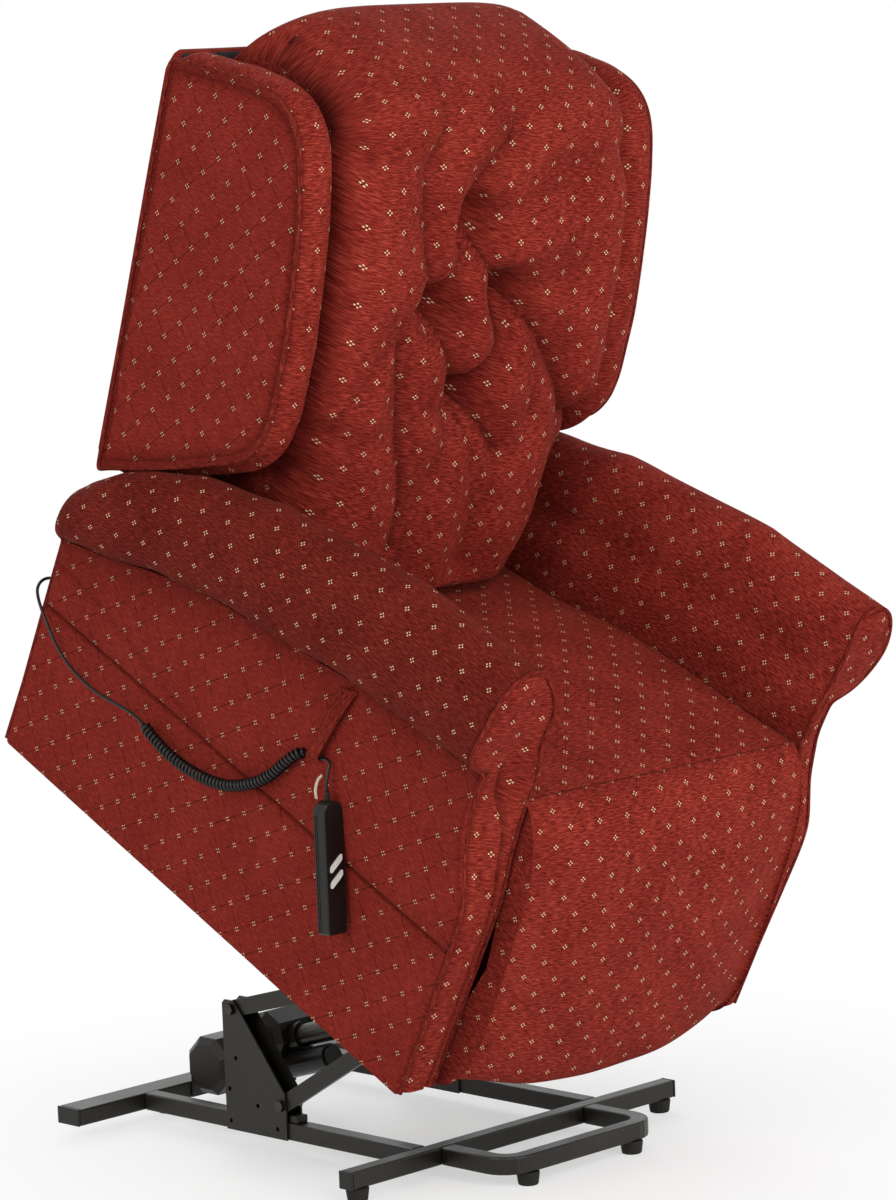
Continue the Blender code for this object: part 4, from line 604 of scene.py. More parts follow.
def makeCord():
    form = cordForm
    tail = catmull(millimetres(form["tail"]), 140)
    helix = curlLine()
    heading = np.array(form["strapHeading"])
    out = [helix[-1] + heading * reach for reach in np.linspace(0.005, form["throughStrap"], 8)]
    chairPart = toWorld(np.vstack([tail, helix[1:], out]))
    headEnd, headStart = toWorld(np.array([heading, (0, 0, 0)]))
    ahead = (headEnd - headStart) / np.linalg.norm(headEnd - headStart)
    top = chairPart[-1]
    x = form["hangX"] - top[0]
    bend = ahead * 0.013 + np.array([-0.002, 0, -0.004])
    knots = [(0, 0, 0), ahead * 0.006, bend, (x * 0.55, bend[1], -0.016)]
    for reach, drop in ((0.95, -0.027), (1, -0.034), (1, -0.040)):
        knots.append((x * reach, bend[1] - 0.001, drop))
    line = np.vstack([chairPart, (top + catmull(knots, 40))[1:]])
    shell = Shell()
    shell.grid(*closedEnds(*tubeGrid(line, form["diameter"] / 2, 10)), wrap=True)
    cord = shell.build("handset_cord", [hard["cord_jacket"]], 0, np.asarray)
    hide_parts("cord_tail", "cord_curl", "cord_lead")
    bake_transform(cord)
    return top


cordTop = makeCord()

armForm = {
    "depth": 0.876,
    "innerWall": 0.2703,
    "panelFoot": 0.338,
    "panelWaist": 0.345,
    "rollCenter": 0.340,
    "rollHalfWidth": 0.057,
    "seamHeight": 0.232,
    "seamDepth": 0.0040,
    "bulge": 0.0050,
    "gather": 0.0015,
    "softness": 0.0014,
    "welt": 0.0030,
    "rearWelt": 0.003,
    "facingInset": 0.0055,
    "weltInset": 0.0035,
    "innerBand": 0.021,
    "fullness": 0.68,
    "frontEdge": 0.008,
    "rearEdge": 0.012,
}
armStations = np.concatenate([
    [0.0, 0.0008, 0.002, 0.004, 0.0065],
    np.linspace(0.010, 0.860, 150),
    [0.8645, 0.8685, 0.8715, 0.8738, 0.8752, 0.876],
])
# The front of the arm lies back under the roll, by heights and depths.
faceLine = (
    (0.0, 0.27, 0.31, 0.37, 0.43, 0.50, 0.57, 0.66),
    (0.0, 0.0, 0.004, 0.032, 0.046, 0.043, 0.027, 0.026),
)
softHeights = np.linspace(0, 0.7, 200)
softFace = softened(stacked(softHeights, np.interp(softHeights, *faceLine)), 30)[:, 1]


def armTop(y):
    knots = (0.0, 0.25, 0.52, 0.665, 0.743, 0.80, 0.843, 0.866, 0.876)
    return np.interp(y, knots, (0.652, 0.648, 0.606, 0.562, 0.525, 0.489, 0.452, 0.425, 0.405))


def armCrease(y):
    knots = (0.0, 0.30, 0.56, 0.684, 0.764, 0.876)
    return np.interp(y, knots, (0.490, 0.470, 0.432, 0.402, 0.374, 0.342))


def faceDepth(z, x=1.0):
    # The hollow below the roll is shallower along the inner wall.
    return np.interp(z, softHeights, softFace) * (0.38 + 0.62 * smoothStep((x - 0.276) / 0.040))


def armOutline(y, inset=0.0):
    # From the inner foot over the roll to the crease, then down the outer panel.
    form = armForm
    top, crease = armTop(y) - inset, armCrease(y)
    middle, half = (top + crease) / 2, (top - crease) / 2
    toRear = np.clip((y - 0.80) / (form["depth"] - 0.80), 0, 1)
    reach = (form["rollHalfWidth"] - inset) * math.sqrt(1 - 0.8 * toRear**2)
    wall = form["innerWall"] + inset
    line = [(wall, inset), (wall, 0.15), (wall, 0.30), (wall, middle - half * 0.9)]
    for a in np.radians(np.linspace(-20, 240, 40)):
        # The underside is fuller than a circle.
        c, s = math.cos(a), math.sin(a)
        full = form["fullness"] if a > math.pi else 1.0
        across, up = math.copysign(abs(c) ** full, c), math.copysign(abs(s) ** full, s)
        line.append((form["rollCenter"] - reach * across, middle + half * up))
    line.append((form["panelWaist"] - inset + 0.001, crease - 0.006))
    over = softened(resample(line, 130), 5)
    waist, foot = form["panelWaist"] - inset, form["panelFoot"] - inset
    seam = form["seamHeight"]
    heights = np.concatenate([
        np.linspace(crease - 0.006, seam + 0.016, 60),
        np.linspace(seam + 0.0145, seam - 0.0145, 25),
        np.linspace(seam - 0.018, inset, 55),
    ])
    knots = (inset, 0.10, seam, 0.300, crease - 0.006)
    x = np.interp(heights, knots, (foot, foot, waist - 0.002, waist, waist + 0.001))
    return over, stacked(x, heights)


def padRoll(over):
    # The roll, with gathers that fade away from the crease, and painted shade that darkens towards the
    # crease.
    form = armForm
    run = np.linalg.norm(np.diff(over, axis=1), axis=2).cumsum(1)
    run = np.concatenate([np.zeros((len(over), 1)), run], 1)
    away = run[:, -1:] - run
    y = over[..., 1]
    puff = 0.0020 * (1 - fall(away, 0.02)) + form["softness"] * waves(y, away, 3, 0.15)
    ripple = waves(y, away * 0.12, 5, 0.024) * fall(away, 0.020)
    puff = puff + form["gather"] * ripple * (1 - fall(away, 0.004))
    fade = smoothStep(y / 0.03) * smoothStep((form["depth"] - y) / 0.03)
    inner = smoothStep((over[..., 0] - form["innerWall"] - 0.004) / 0.015)
    normal = normalsOf(over)
    normal *= np.sign(normal[60, 60, 2] or 1)
    over = over + normal * (puff * fade * inner)[..., None]
    return over, stacked(over[..., 1], -away), 0.50 * fall(away, 0.006) + 0.26 * fall(away, 0.045)


def padPanel(under):
    # The outer panel, padded above its level seam, with a fold that rises to the rear.
    form = armForm
    y, z = under[..., 1], under[..., 2]
    crease = armCrease(y)
    down = crease - z
    seam = form["seamHeight"] + 0.0014 * waves(y, y * 0, 21, 0.2)
    above = np.clip((z - seam) / (crease - seam), 0, 1)
    arch = np.sin(math.pi * above)
    pad = form["bulge"] * arch**0.6 * smoothStep((z - seam) / 0.012)
    pad = pad + 0.0014 * waves(y, z * 0.8, 13, 0.13) * arch
    gathers = waves(y, down * 0.2, 11, 0.030) * fall(down, 0.035) * (1 - fall(down, 0.004))
    pad = pad + form["gather"] * 1.2 * gathers - form["seamDepth"] * bell(z - seam, 0.0030)
    pad = pad + 0.0007 * waves(y, z * 0, 17, 0.022) * fall(z - seam, 0.012)
    fold = z - seam - 0.072 * smoothStep((y - 0.44) / 0.42)
    inFold = smoothStep((y - 0.46) / 0.12)
    pad = pad + inFold * (0.0012 * bell(fold + 0.014, 0.010) - 0.0022 * bell(fold, 0.0055))
    pad = pad + form["softness"] * 0.35 * waves(y, z, 8, 0.22)
    # Painted shade darkens the seam, the fold and the panel under the roll.
    shade = 0.62 * fall(z - seam + 0.0008, 0.0022) + 0.16 * fall(z - seam, 0.012)
    shade = shade + 0.45 * fall(down, 0.010) + 0.32 * fall(down, 0.045)
    shade = shade + 0.30 * inFold * fall(fold, 0.0035)
    fade = smoothStep(y / 0.02) * smoothStep((form["depth"] - y) / 0.02)
    under = under + stacked(pad * fade, 0, 0)
    return under, stacked(under[..., 1], under[..., 2] - 0.5), shade


def armFace(y, sign):
    # The facing at the front or the panel at the rear, level by level across the outline.
    form = armForm
    ring, lower = armOutline(y, form["facingInset"])
    top = int(np.argmax(ring[:, 1]))
    outer = np.vstack([ring[top:], lower[1:]])
    bend = ring[top, 1] - 0.06
    levels = np.concatenate([
        np.linspace(form["facingInset"], bend, 110),
        ring[top, 1] - 0.06 * (1 - np.sin(np.linspace(0, 1.57, 40)[1:])),
    ])
    low = np.interp(levels, ring[: top + 1, 1], ring[: top + 1, 0])[:, None]
    high = np.interp(levels, outer[::-1, 1], outer[::-1, 0])[:, None]
    u = crowded(45)[None]
    x = (low + high) / 2 + (high - low) / 2 * u
    z = np.repeat(levels[:, None], u.size, 1)
    dome = 0.0060 * (1 - np.abs(u) ** 4) + 0.0010 * waves(x, z, 31, 0.06)
    edgeGap = np.minimum(x - low, high - x)
    # Painted shade along the edges next to the welts.
    shade = 0.60 * fall(edgeGap, 0.003)
    base = np.full_like(z, form["depth"] - 0.002)
    if sign < 0:
        # A second seam sets off the band along the inner wall, up to the hollow under the roll.
        band = form["innerBand"] + 0.030 * smoothStep((z - 0.38) / 0.12)
        fromBand = x - form["innerWall"] - band
        below = 1 - smoothStep((z - 0.47) / 0.06)
        dome = dome - 0.0060 * below * bell(fromBand, 0.0026)
        # Painted shade along that seam.
        shade = shade + 0.55 * below * fall(fromBand, 0.0024)
        base = faceDepth(z, x) + 0.001
    # Gathers where the facing is eased round the roll.
    ease = smoothStep((z - 0.42) / 0.05) * fall(edgeGap, 0.016)
    dome = dome + 0.0016 * ease * waves(z, x * 0.3, 37, 0.016)
    return stacked(x, base + sign * dome, z), stacked(x, z), shade


def makeArm(side, name):
    form = armForm
    overs, unders = [], []
    for y in armStations:
        front, rear = form["frontEdge"], form["rearEdge"]
        edge = max(front * rounding(1 - y / front), rear * rounding(1 - (form["depth"] - y) / rear))
        ease = max(0.0, 1 - y / 0.12)
        for rows, part in zip((overs, unders), armOutline(y, min(edge, front))):
            x, z = part.T
            rows.append(stacked(x, y + faceDepth(z, x) * ease, z))
    shell = Shell()
    flip = side > 0
    mirror = (side, 1, 1)
    sheets = (padRoll(np.array(overs)), padPanel(np.array(unders)))
    for slot, (points, uv, shade) in enumerate(sheets):
        # Painted shade along the edge of the front facing.
        fromFace = points[..., 1] - faceDepth(points[..., 2], points[..., 0]) - 0.004
        shade = shade + 0.45 * fall(fromFace, 0.0035)
        shell.grid(points * mirror, uv, flip=flip, slot=slot, shade=shade)
    foot = np.stack([sheets[0][0][:, 0], sheets[1][0][:, -1]], 1) * mirror
    shell.grid(foot, foot[..., :2], flip=not flip, slot=2)
    for y, sign in ((0.0, -1), (form["depth"], 1)):
        face, uv, shade = armFace(y, sign)
        shell.grid(face * mirror, uv, flip=flip == (sign < 0), slot=3, shade=shade)
    # The left roll takes a darker copy of the cloth: painted shade on that roll.
    roll = shadedRollCloth if side < 0 else cloth
    arm = shell.build(name + "_arm_cover", [roll, panelCloth, hard["black_lining"], facingCloth])
    upholster(arm, name + "_arm", "chair")
    for label, y in (("front", 0.0), ("rear", form["depth"])):
        ring, lower = armOutline(y, form["weltInset"])
        line = softened(resample(np.vstack([ring, lower[1:]]), 260), 3)
        if y:
            depth, radius = form["depth"] - 0.002, form["rearWelt"]
        else:
            depth, radius = faceDepth(line[:, 1], line[:, 0]) + 0.0008, form["welt"]
        path = stacked(side * line[:, 0], depth, line[:, 1])
        makeWelt(f"{name}_arm_welt_{label}", closedEnds(*tubeGrid(path, radius, 10)), "chair")


makeArm(-1, "left")
makeArm(1, "right")
print("arms made")

seatForm = {
    "half": 0.268,
    "rear": 0.640,
    "front": 0.0288,
    "sideRound": 0.026,
    "swell": 0.006,
    "clearance": 0.0876,
    "deck": 0.300,
}


def seatLine(y):
    t = np.clip((y - 0.030) / 0.58, 0, 1)
    return 0.4412 + (0.384 - 0.4412) * t + 0.014 * np.sin(np.pi * np.clip(t * 1.3, 0, 1))


def makeSeat():
    form = seatForm
    half, deck, sideRound = form["half"], form["deck"], form["sideRound"]
    u = crowded(81)
    run = [np.linspace(form["rear"], 0.07, 110), np.linspace(0.066, form["front"], 26)]
    x, y = np.meshgrid(u * half, np.concatenate(run))
    rise = 0.012 * (1 - (x / half) ** 2) * np.sin(np.pi * np.clip((y - 0.03) / 0.55, 0, 1))
    swell = form["swell"] * np.sin(np.pi * np.clip((y - 0.03) / 0.6, 0, 1)) * (1 - u[None] ** 4)
    t = np.clip((np.abs(x) - (half - sideRound)) / sideRound, 0, 1)
    z = seatLine(y) + rise + swell - sideRound * smoothStep((y - 0.035) / 0.12) * rounding(t)
    z = z - 0.0006 * rounding(np.clip((0.034 - y) / 0.0035, 0, 0.999))
    uneven = 0.0016 * waves(x, y, 41, 0.13) + 0.0022 * waves(x, y, 42, 0.30)
    z = z + uneven * (1 - t) * smoothStep((y - 0.03) / 0.07)
    top = stacked(x, y, z)
    across = lengths(top[60])
    uv = stacked((across - across[40])[None], -lengths(top[:, 40])[:, None])
    gap = half - np.abs(x)
    # Painted shade along the sides next to the arms and towards the rear under the back cushion.
    shade = 0.75 * fall(gap, 0.007) + 0.25 * fall(gap, 0.03)
    shade = shade + 0.6 * fall(np.maximum(0, 0.575 - y), 0.02)
    shell = Shell()
    shell.grid(top, uv, shade=shade)
    # Sides down to the deck, and a front that keeps clear of the turning legrest.
    for edge, flip in ((top[:, 0], True), (top[:, -1], False)):
        floor = stacked(edge[:, 0], edge[:, 1], deck)
        rows = np.stack([edge, (edge + floor) / 2, floor], 1)
        shell.grid(rows, rows[..., 1:], flip=flip)
    front = top[-1]
    pivotY, pivotZ = legrestForm["pivot"]
    below = [front]
    for a in np.radians(np.linspace(89, 0, 16)):
        level = np.minimum(front[:, 2] - 0.0004, pivotZ + form["clearance"] * math.sin(a))
        below.append(stacked(front[:, 0], pivotY + form["clearance"] * math.cos(a), level))
    below = np.array([*below, below[-1] * (1, 1, 0) + (0, 0, deck)])
    # The front below the top carries painted shade.
    shell.grid(below, below[..., [0, 2]], shade=0.25)
    upholster(shell.build("seat_pad", [cloth]), "seat_cushion", "chair")


# The legrest's outline in millimetres from its top to its foot, along the middle and the sides.
legrestForm = {
    "pivot": (0.030, 0.355),
    "half": 0.2671,
    "sideRound": 0.022,
    "sideDrop": 0.012,
    "middle": (
        (28, 441), (16, 439.2), (2, 432.5), (-14, 418), (-29, 395), (-42, 362), (-52, 318), (-59, 260),
        (-63, 200), (-65, 140), (-66, 90), (-66, 50), (-64, 23), (-57, 7), (-42, 1), (28, 1),
    ),
    "side": (
        (28, 441), (20, 436.8), (8, 423), (-6, 396), (-16, 366), (-22, 335), (-26, 300), (-29, 250),
        (-31, 195), (-33, 142), (-32, 95), (-28, 60), (-20, 35), (-7, 17), (6, 10), (28, 8),
    ),
}


def makeLegrest():
    form = legrestForm
    pivotY, pivotZ = form["pivot"]
    half, sideRound = form["half"], form["sideRound"]
    middle, side = (softened(catmull(millimetres(form[key]), 150), 6) for key in ("middle", "side"))
    stations = crowded(91)
    rings = []
    for u in stations:
        outward = abs(u) ** 3
        line = middle * (1 - outward) + side * outward
        t = max(0.0, (abs(u * half) - (half - sideRound)) / sideRound)
        knots = (0.0, 0.03, 0.10, 0.36, 0.42, 0.44)
        share = np.interp(line[:, 1], knots, (0.5, 0.8, 1.0, 0.6, 0.15, 0.05))
        drop = form["sideDrop"] * share * (1 - max(0.0, 1 - t**2.3) ** (1 / 2.3))
        heading = headings(line)
        line = line + stacked(heading[:, 1], -heading[:, 0]) * drop[:, None]
        rings.append(stacked(u * half, np.minimum(line[:, 0], pivotY - 0.002), line[:, 1]))
    front = np.array(rings)
    x, z = front[..., 0], front[..., 2]
    normal = normalsOf(front)
    if normal[45, 70, 1] > 0:
        normal = -normal
    soft = 0.0018 * waves(x, z, 51, 0.15) + 0.0024 * waves(x, z * 0.7, 52, 0.30)
    soft = soft * smoothStep((0.441 - z) / 0.07) * (1 - np.abs(stations) ** 8)[:, None]
    # Painted shade along the sides and towards the foot.
    shade = 0.3 * fall(half - np.abs(x), 0.004) + 0.35 * fall(z, 0.02)
    front = front + normal * soft[..., None]
    shell = Shell()
    uv = stacked(front[:, :1, 0], -lengths(front[45])[None])
    shell.grid(front, uv, flip=True, shade=shade)
    rear = np.stack([front[:, 0], front[:, -1]], 1)
    shell.grid(rear, rear[..., [0, 2]], slot=1)
    # The end caps carry painted shade.
    for ring, flip in ((front[0], True), (front[-1], False)):
        center = np.array([ring[0, 0], pivotY - 0.04, 0.2])
        rows = np.array([center + (ring - center) * s for s in np.linspace(1, 0, 8)])
        shell.grid(rows, rows[..., 1:], flip=flip, shade=0.25)
    # Quarter discs about the pivot close the sides behind the top roll, with painted shade.
    turns = np.radians(np.linspace(-8, 96, 30))
    rim = (
        (0.2618, 0.0), (0.2618, 0.082), (0.2628, 0.0838),
        (0.2656, 0.0838), (0.2666, 0.082), (0.2666, 0.0),
    )
    y, z = np.cos(turns), np.sin(turns)
    for sign in (-1, 1):
        disc = np.array([stacked(sign * at, pivotY + r * y, pivotZ + r * z) for at, r in rim])
        shell.grid(disc, disc[..., 1:], flip=sign > 0, shade=0.3)
    upholster(shell.build("legrest_cover", [cloth, plainCloth]), "legrest_pad", "legrest")


makeSeat()
makeLegrest()
print("seat and legrest made")

# Tufts and creases in millimetres across and up the cushion. A tuft has its depth last,
# a crease its depth and how sharp it is.
backForm = {
    "lean": math.radians(9.3),
    "knee": 0.440,
    "foot": 0.409,
    "crownStart": 1.035,
    "crownTop": 1.158,
    "crownY": 0.835,
    "crownPower": 2.5,
    "tuftPinch": 0.018,
    "puff": 0.014,
    "mapHalf": 0.272,
    "frame": 0.044,
    "tufts": ((-44, 958, 60), (-94, 842, 58), (36, 856, 58), (-18, 709, 56)),
    "creases": (
        (((-105, 1150), (-130, 1090), (-148, 1020), (-140, 935), (-116, 875), (-94, 842)), 17, 0.9),
        (((24, 1150), (0, 1085), (-28, 1040), (-50, 1005), (-44, 958)), 17, 0.9),
        (((-44, 958), (-26, 920), (4, 885), (36, 856)), 20, 1.1),
        (((-44, 958), (-68, 908), (-86, 872), (-94, 842)), 17, 0.8),
        (((-94, 842), (-66, 792), (-46, 752), (-18, 709)), 22, 1.1),
        (((36, 856), (34, 786), (4, 742), (-18, 709)), 24, 1.3),
        (((-18, 709), (10, 690), (37, 664), (60, 636)), 18, 1.2),
        (((36, 856), (70, 832), (118, 782), (166, 722), (200, 672), (246, 655)), 22, 1.2),
        (((200, 672), (210, 610), (214, 540), (212, 450)), 10, 0.5),
        (((-94, 842), (-130, 846), (-175, 822), (-215, 760), (-255, 690)), 12, 0.5),
        (((-165, 806), (-153, 745), (-141, 694), (-118, 630), (-98, 571), (-92, 500)), 17, 1.1),
        (((-18, 709), (-50, 640), (-72, 570), (-76, 480)), 9, 0.5),
        (((-18, 709), (20, 620), (46, 550), (52, 470)), 10, 0.6),
        (((-44, 958), (40, 990), (110, 1005)), 7, 0.4),
        (((36, 856), (100, 880), (165, 900)), 7, 0.4),
        (((36, 856), (90, 800), (110, 740), (112, 690)), 8, 0.5),
        (((-18, 709), (-60, 700), (-105, 720)), 7, 0.4),
    ),
}


def backPlane(z):
    return 0.872 + math.tan(backForm["lean"]) * np.maximum(0.0, z - backForm["knee"])


def toSegments(x, z, line):
    # The distance from each place to the nearest piece of the line.
    nearest = np.full(x.shape, 9.0)
    for (ax, az), (bx, bz) in zip(line[:-1], line[1:]):
        dx, dz = bx - ax, bz - az
        t = np.clip(((x - ax) * dx + (z - az) * dz) / (dx * dx + dz * dz), 0, 1)
        nearest = np.minimum(nearest, np.hypot(x - ax - t * dx, z - az - t * dz))
    return nearest


def backRelief(x, z):
    # How far tufts, creases and folds pull the front in, and the painted shade in them.
    pulled, dark = np.zeros(x.shape), np.zeros(x.shape)
    nearest = np.full(x.shape, 9.0)
    for line, depth, sharp in backForm["creases"]:
        away = toSegments(x, z, catmull(millimetres(line), 30))
        nearest = np.minimum(nearest, away)
        shape = 0.5 * sharp * fall(away, 0.007) + 0.6 * bell(away, 0.030)
        pulled = np.maximum(pulled, depth / 1000 * shape)
        line = 0.60 * sharp * fall(away, 0.0034) + 0.22 * sharp * fall(away, 0.014)
        dark = np.maximum(dark, line)
    for tx, tz, depth in millimetres(backForm["tufts"]):
        away = np.hypot(x - tx, z - tz)
        turn = np.arctan2(z - tz, x - tx)
        pulled = pulled + depth * bell(away, 0.036) + backForm["tuftPinch"] * fall(away, 0.010)
        star = np.cos(9 * turn + 20 * tx + 5 * tz) * fall(away, 0.035) * (1 - bell(away, 0.012))
        pulled = pulled + 0.0022 * star
        nearest = np.minimum(nearest, away)
        dark = np.maximum(dark, bell(away, 0.008) + 0.42 * fall(away, 0.020))
    return pulled - backForm["puff"] * (1 - bell(nearest, 0.055)), dark


def cushionHalf(z):
    knots = (0.40, 0.47, 0.60, 0.645, 0.70, 1.04, 1.12, 1.165)
    return np.interp(z, knots, (0.236, 0.246, 0.246, 0.262, 0.271, 0.270, 0.262, 0.240))


def cushionProfile():
    # Up the front, over the crown and down the rear, and the number of its front points.
    form = backForm
    foot, crownStart, crownY, top = (form[key] for key in ("foot", "crownStart", "crownY", "crownTop"))
    heights = np.linspace(foot + 0.02, crownStart, 150)
    knots = (0.40, 0.50, 0.62, 0.75, 0.90, 1.04)
    frontY = np.interp(heights, knots, (0.525, 0.507, 0.515, 0.535, 0.565, 0.612))
    frontY = softened(stacked(heights, frontY), 40)[:, 1]
    line = [(0.60, foot + 0.004), (0.56, foot + 0.001), (0.535, foot + 0.006), *zip(frontY, heights)]
    power = 2 / form["crownPower"]
    rear = float(backPlane(0.99)) - form["frame"]
    for a in np.radians(np.linspace(4, 90, 44)):
        y = frontY[-1] + (crownY - frontY[-1]) * (1 - math.cos(a) ** power)
        line.append((y, crownStart + (top - crownStart) * math.sin(a) ** power))
    frontEnd = len(line)
    for a in np.radians(np.linspace(84, 0, 22)):
        y = rear - (rear - crownY) * (1 - math.cos(a) ** power)
        line.append((y, 0.995 + (top - 0.995) * math.sin(a) ** power))
    for z in np.linspace(0.97, foot + 0.004, 30):
        line.append((float(backPlane(z)) - form["frame"], z))
    return np.array(line), frontEnd


def endDrop(u, power):
    return 1 - math.sqrt(max(0.0, 1 - abs(u) ** power))


def makeBackCushion():
    form = backForm
    profile, frontEnd = cushionProfile()
    up = profile[:, 1]
    isFront = (np.arange(len(profile)) < frontEnd).astype(float)
    crown = np.clip((up - form["crownStart"]) / (form["crownTop"] - form["crownStart"]), 0, 1)
    upper = smoothStep((up - 0.655) / 0.06) * (1 - smoothStep((up - 0.98) / 0.08))
    stations = crowded(141)
    rings = []
    for u in stations:
        cube, ends = abs(u) ** 3, endDrop(u, 7)
        lowBack, highBack = 0.030 * cube + 0.085 * ends, 0.006 * cube + 0.075 * endDrop(u, 12)
        setBack = (1 - upper) * lowBack + upper * highBack
        y = profile[:, 0] + isFront * setBack * (1 - 0.75 * crown)
        z = up - crown * (0.022 * abs(u) ** 4 + 0.060 * ends)
        rings.append(stacked(u * cushionHalf(up), y, z))
    points = np.array(rings)
    x, z = points[..., 0], points[..., 2].copy()
    relief, dark = backRelief(x, up[None] + 0 * x)
    fadeTop = 1 - smoothStep((up - 1.06) / 0.095)
    fadeSide = 1 - np.abs(stations[:, None]) ** 6
    fine = 0.0009 * waves(x, z * 0.6, 61, 0.030) + 0.0014 * waves(x, z * 0.4, 62, 0.075)
    amount = (relief * np.maximum(fadeTop, 0.12) + fine) * isFront * fadeSide
    points[..., 1] += amount * (0.35 + 0.65 * fadeTop)
    points[..., 2] -= amount * (0.8 * (1 - fadeTop))
    along = lengths(profile)
    uv = stacked(stations[:, None] * form["mapHalf"], np.append(along, along[-1] + 0.05)[None])
    edgeGap = cushionHalf(up) * (1 - np.abs(stations[:, None]))
    # Painted shade in the tufts and creases, along the sides and at the foot.
    shade = dark * isFront * fadeTop * fadeSide + 0.45 * fall(edgeGap, 0.006)
    shade = shade + 0.45 * fall(np.maximum(up - form["foot"], 0), 0.02)
    shell = Shell()
    shell.grid(points, uv, wrap=True, flip=True, shade=shade)
    # The end caps carry painted shade.
    for ring, flip in ((points[0], False), (points[-1], True)):
        center = np.array([ring[:, 0].mean(), 0.76, 0.76])
        rows = np.array([center + (ring - center) * s for s in np.linspace(1, 0, 12)])
        mapped = np.concatenate([rows, rows[:, :1]], 1)[..., 1:]
        shell.grid(rows, mapped, wrap=True, flip=flip, shade=0.3)
    upholster(shell.build("back_pillow", [cloth]), "back_cushion", "backrest")


makeBackCushion()
print("back cushion made")

# The wing's free outline in millimetres from the front and up. Its rear edge follows the back.
wingForm = {
    "outer": 0.338,
    "thickness": 0.062,
    "lip": 0.0135,
    "dome": 0.002,
    "groove": 0.0032,
    "welt": 0.0032,
    "rear": 0.0203,
    "mapLean": math.radians(11.3),
    "outline": (
        (851, 463), (780, 503), (711, 546), (660, 580), (619, 607), (596, 630), (583, 662),
        (581, 700), (594, 793), (611, 860), (629, 923), (650, 985), (672, 1036), (688, 1060),
        (709, 1077), (735, 1086), (765, 1088), (821, 1078), (880, 1060),
    ),
}


def wingOutline():
    line = millimetres(wingForm["outline"]).tolist()
    line += [(float(backPlane(z)) - wingForm["rear"], z) for z in (1.040, 0.76, 0.455)]
    line = softened(resample(line, 420, closed=True), 14, closed=True)
    heading = np.roll(line, -1, 0) - np.roll(line, 1, 0)
    heading /= np.linalg.norm(heading, axis=1)[:, None]
    out = stacked(-heading[:, 1], heading[:, 0])
    out *= 1 if np.sum(out * (line - line.mean(0))) > 0 else -1
    free = smoothStep((backPlane(line[:, 1]) - wingForm["rear"] - line[:, 0]) / 0.03)
    return line, out, free


def makeWing(side, name):
    form = wingForm
    outer, thickness = form["outer"], form["thickness"]
    line, out, free = wingOutline()
    run = lengths(np.vstack([line, line[:1]]))
    depths = np.concatenate([[0.0], np.linspace(0.001, 0.061, 34), [thickness]])
    rings = []
    for depth in depths:
        s = np.clip(depth / thickness, 0, 1)
        low = 0.4 + 0.8 * smoothStep((s - 0.2) / 0.4)
        level = low + (1 - low) * smoothStep((line[:, 1] - 0.60) / 0.09)
        grow = form["lip"] * (1 - abs(2 * s - 1) ** 2.6) * level - 0.001
        grow = grow - 0.006 * smoothStep((s - 0.5) / 0.5)
        soft = 0.0010 * waves(run[:-1], depth, 71, 0.06) * (1 - abs(2 * s - 1) ** 4)
        ring = line + out * ((grow + soft) * free)[:, None]
        rings.append(stacked(side * (outer - depth), ring[:, 0], ring[:, 1]))
    strip = np.array(rings)
    flip = side > 0
    shell = Shell()
    # Painted shade along the strip next to the outer face.
    shade = 0.55 * fall(np.maximum(depths - 0.001, 0), 0.0035)[:, None]
    shell.grid(strip, stacked(depths[:, None], run[None]), wrap=True, flip=not flip, shade=shade)
    c, s = math.cos(form["mapLean"]), math.sin(form["mapLean"])
    sizes = np.concatenate([np.linspace(1, 0.9, 8), np.linspace(0.87, 0, 26)])
    fromEdge = (1 - sizes) * 0.11
    faces = ((strip[0], outer, form["dome"], flip), (strip[-1], outer - thickness, -0.002, not flip))
    for ring, x, swell, turned in faces:
        center = ring[:, 1:].mean(0)
        rows = []
        for size, gap in zip(sizes, fromEdge):
            flat = center + (ring[:, 1:] - center) * size
            puff = swell * (1 - size**10) - form["groove"] * bell(gap - 0.0052, 0.004)
            if size < 0.98:
                puff = puff + 0.0009 * waves(flat[:, 0], flat[:, 1], 77, 0.12)
            rows.append(stacked(side * (x + puff), flat[:, 0], flat[:, 1]))
        rows = np.array(rows)
        y, z = rows[..., 1], rows[..., 2]
        mapped = stacked(c * y - s * z, s * y + c * z)
        mapped = np.concatenate([mapped, mapped[:, :1]], 1)
        # Painted shade in the groove round the face.
        shade = 0.6 * fall(fromEdge - 0.0048, 0.0022)[:, None]
        shell.grid(rows, mapped, wrap=True, flip=turned, slot=1, shade=shade)
    wing = shell.build(name + "_wing_cover", [cloth, panelCloth])
    upholster(wing, name + "_wing", "backrest")
    path = line - out * (0.0005 * free)[:, None]
    path = stacked(side * (outer + 0.0008), path[:, 0], path[:, 1])
    makeWelt(name + "_wing_welt", tubeGrid(path, form["welt"], 10, closed=True), "backrest")


makeWing(-1, "left")
makeWing(1, "right")
print("wings made")

outerForm = {
    "footHeight": 0.120,
    "stepHeight": 0.480,
    "top": 1.045,
    "footHalf": 0.262,
    "wideHalf": 0.330,
    "thickness": 0.020,
    "edge": 0.008,
}


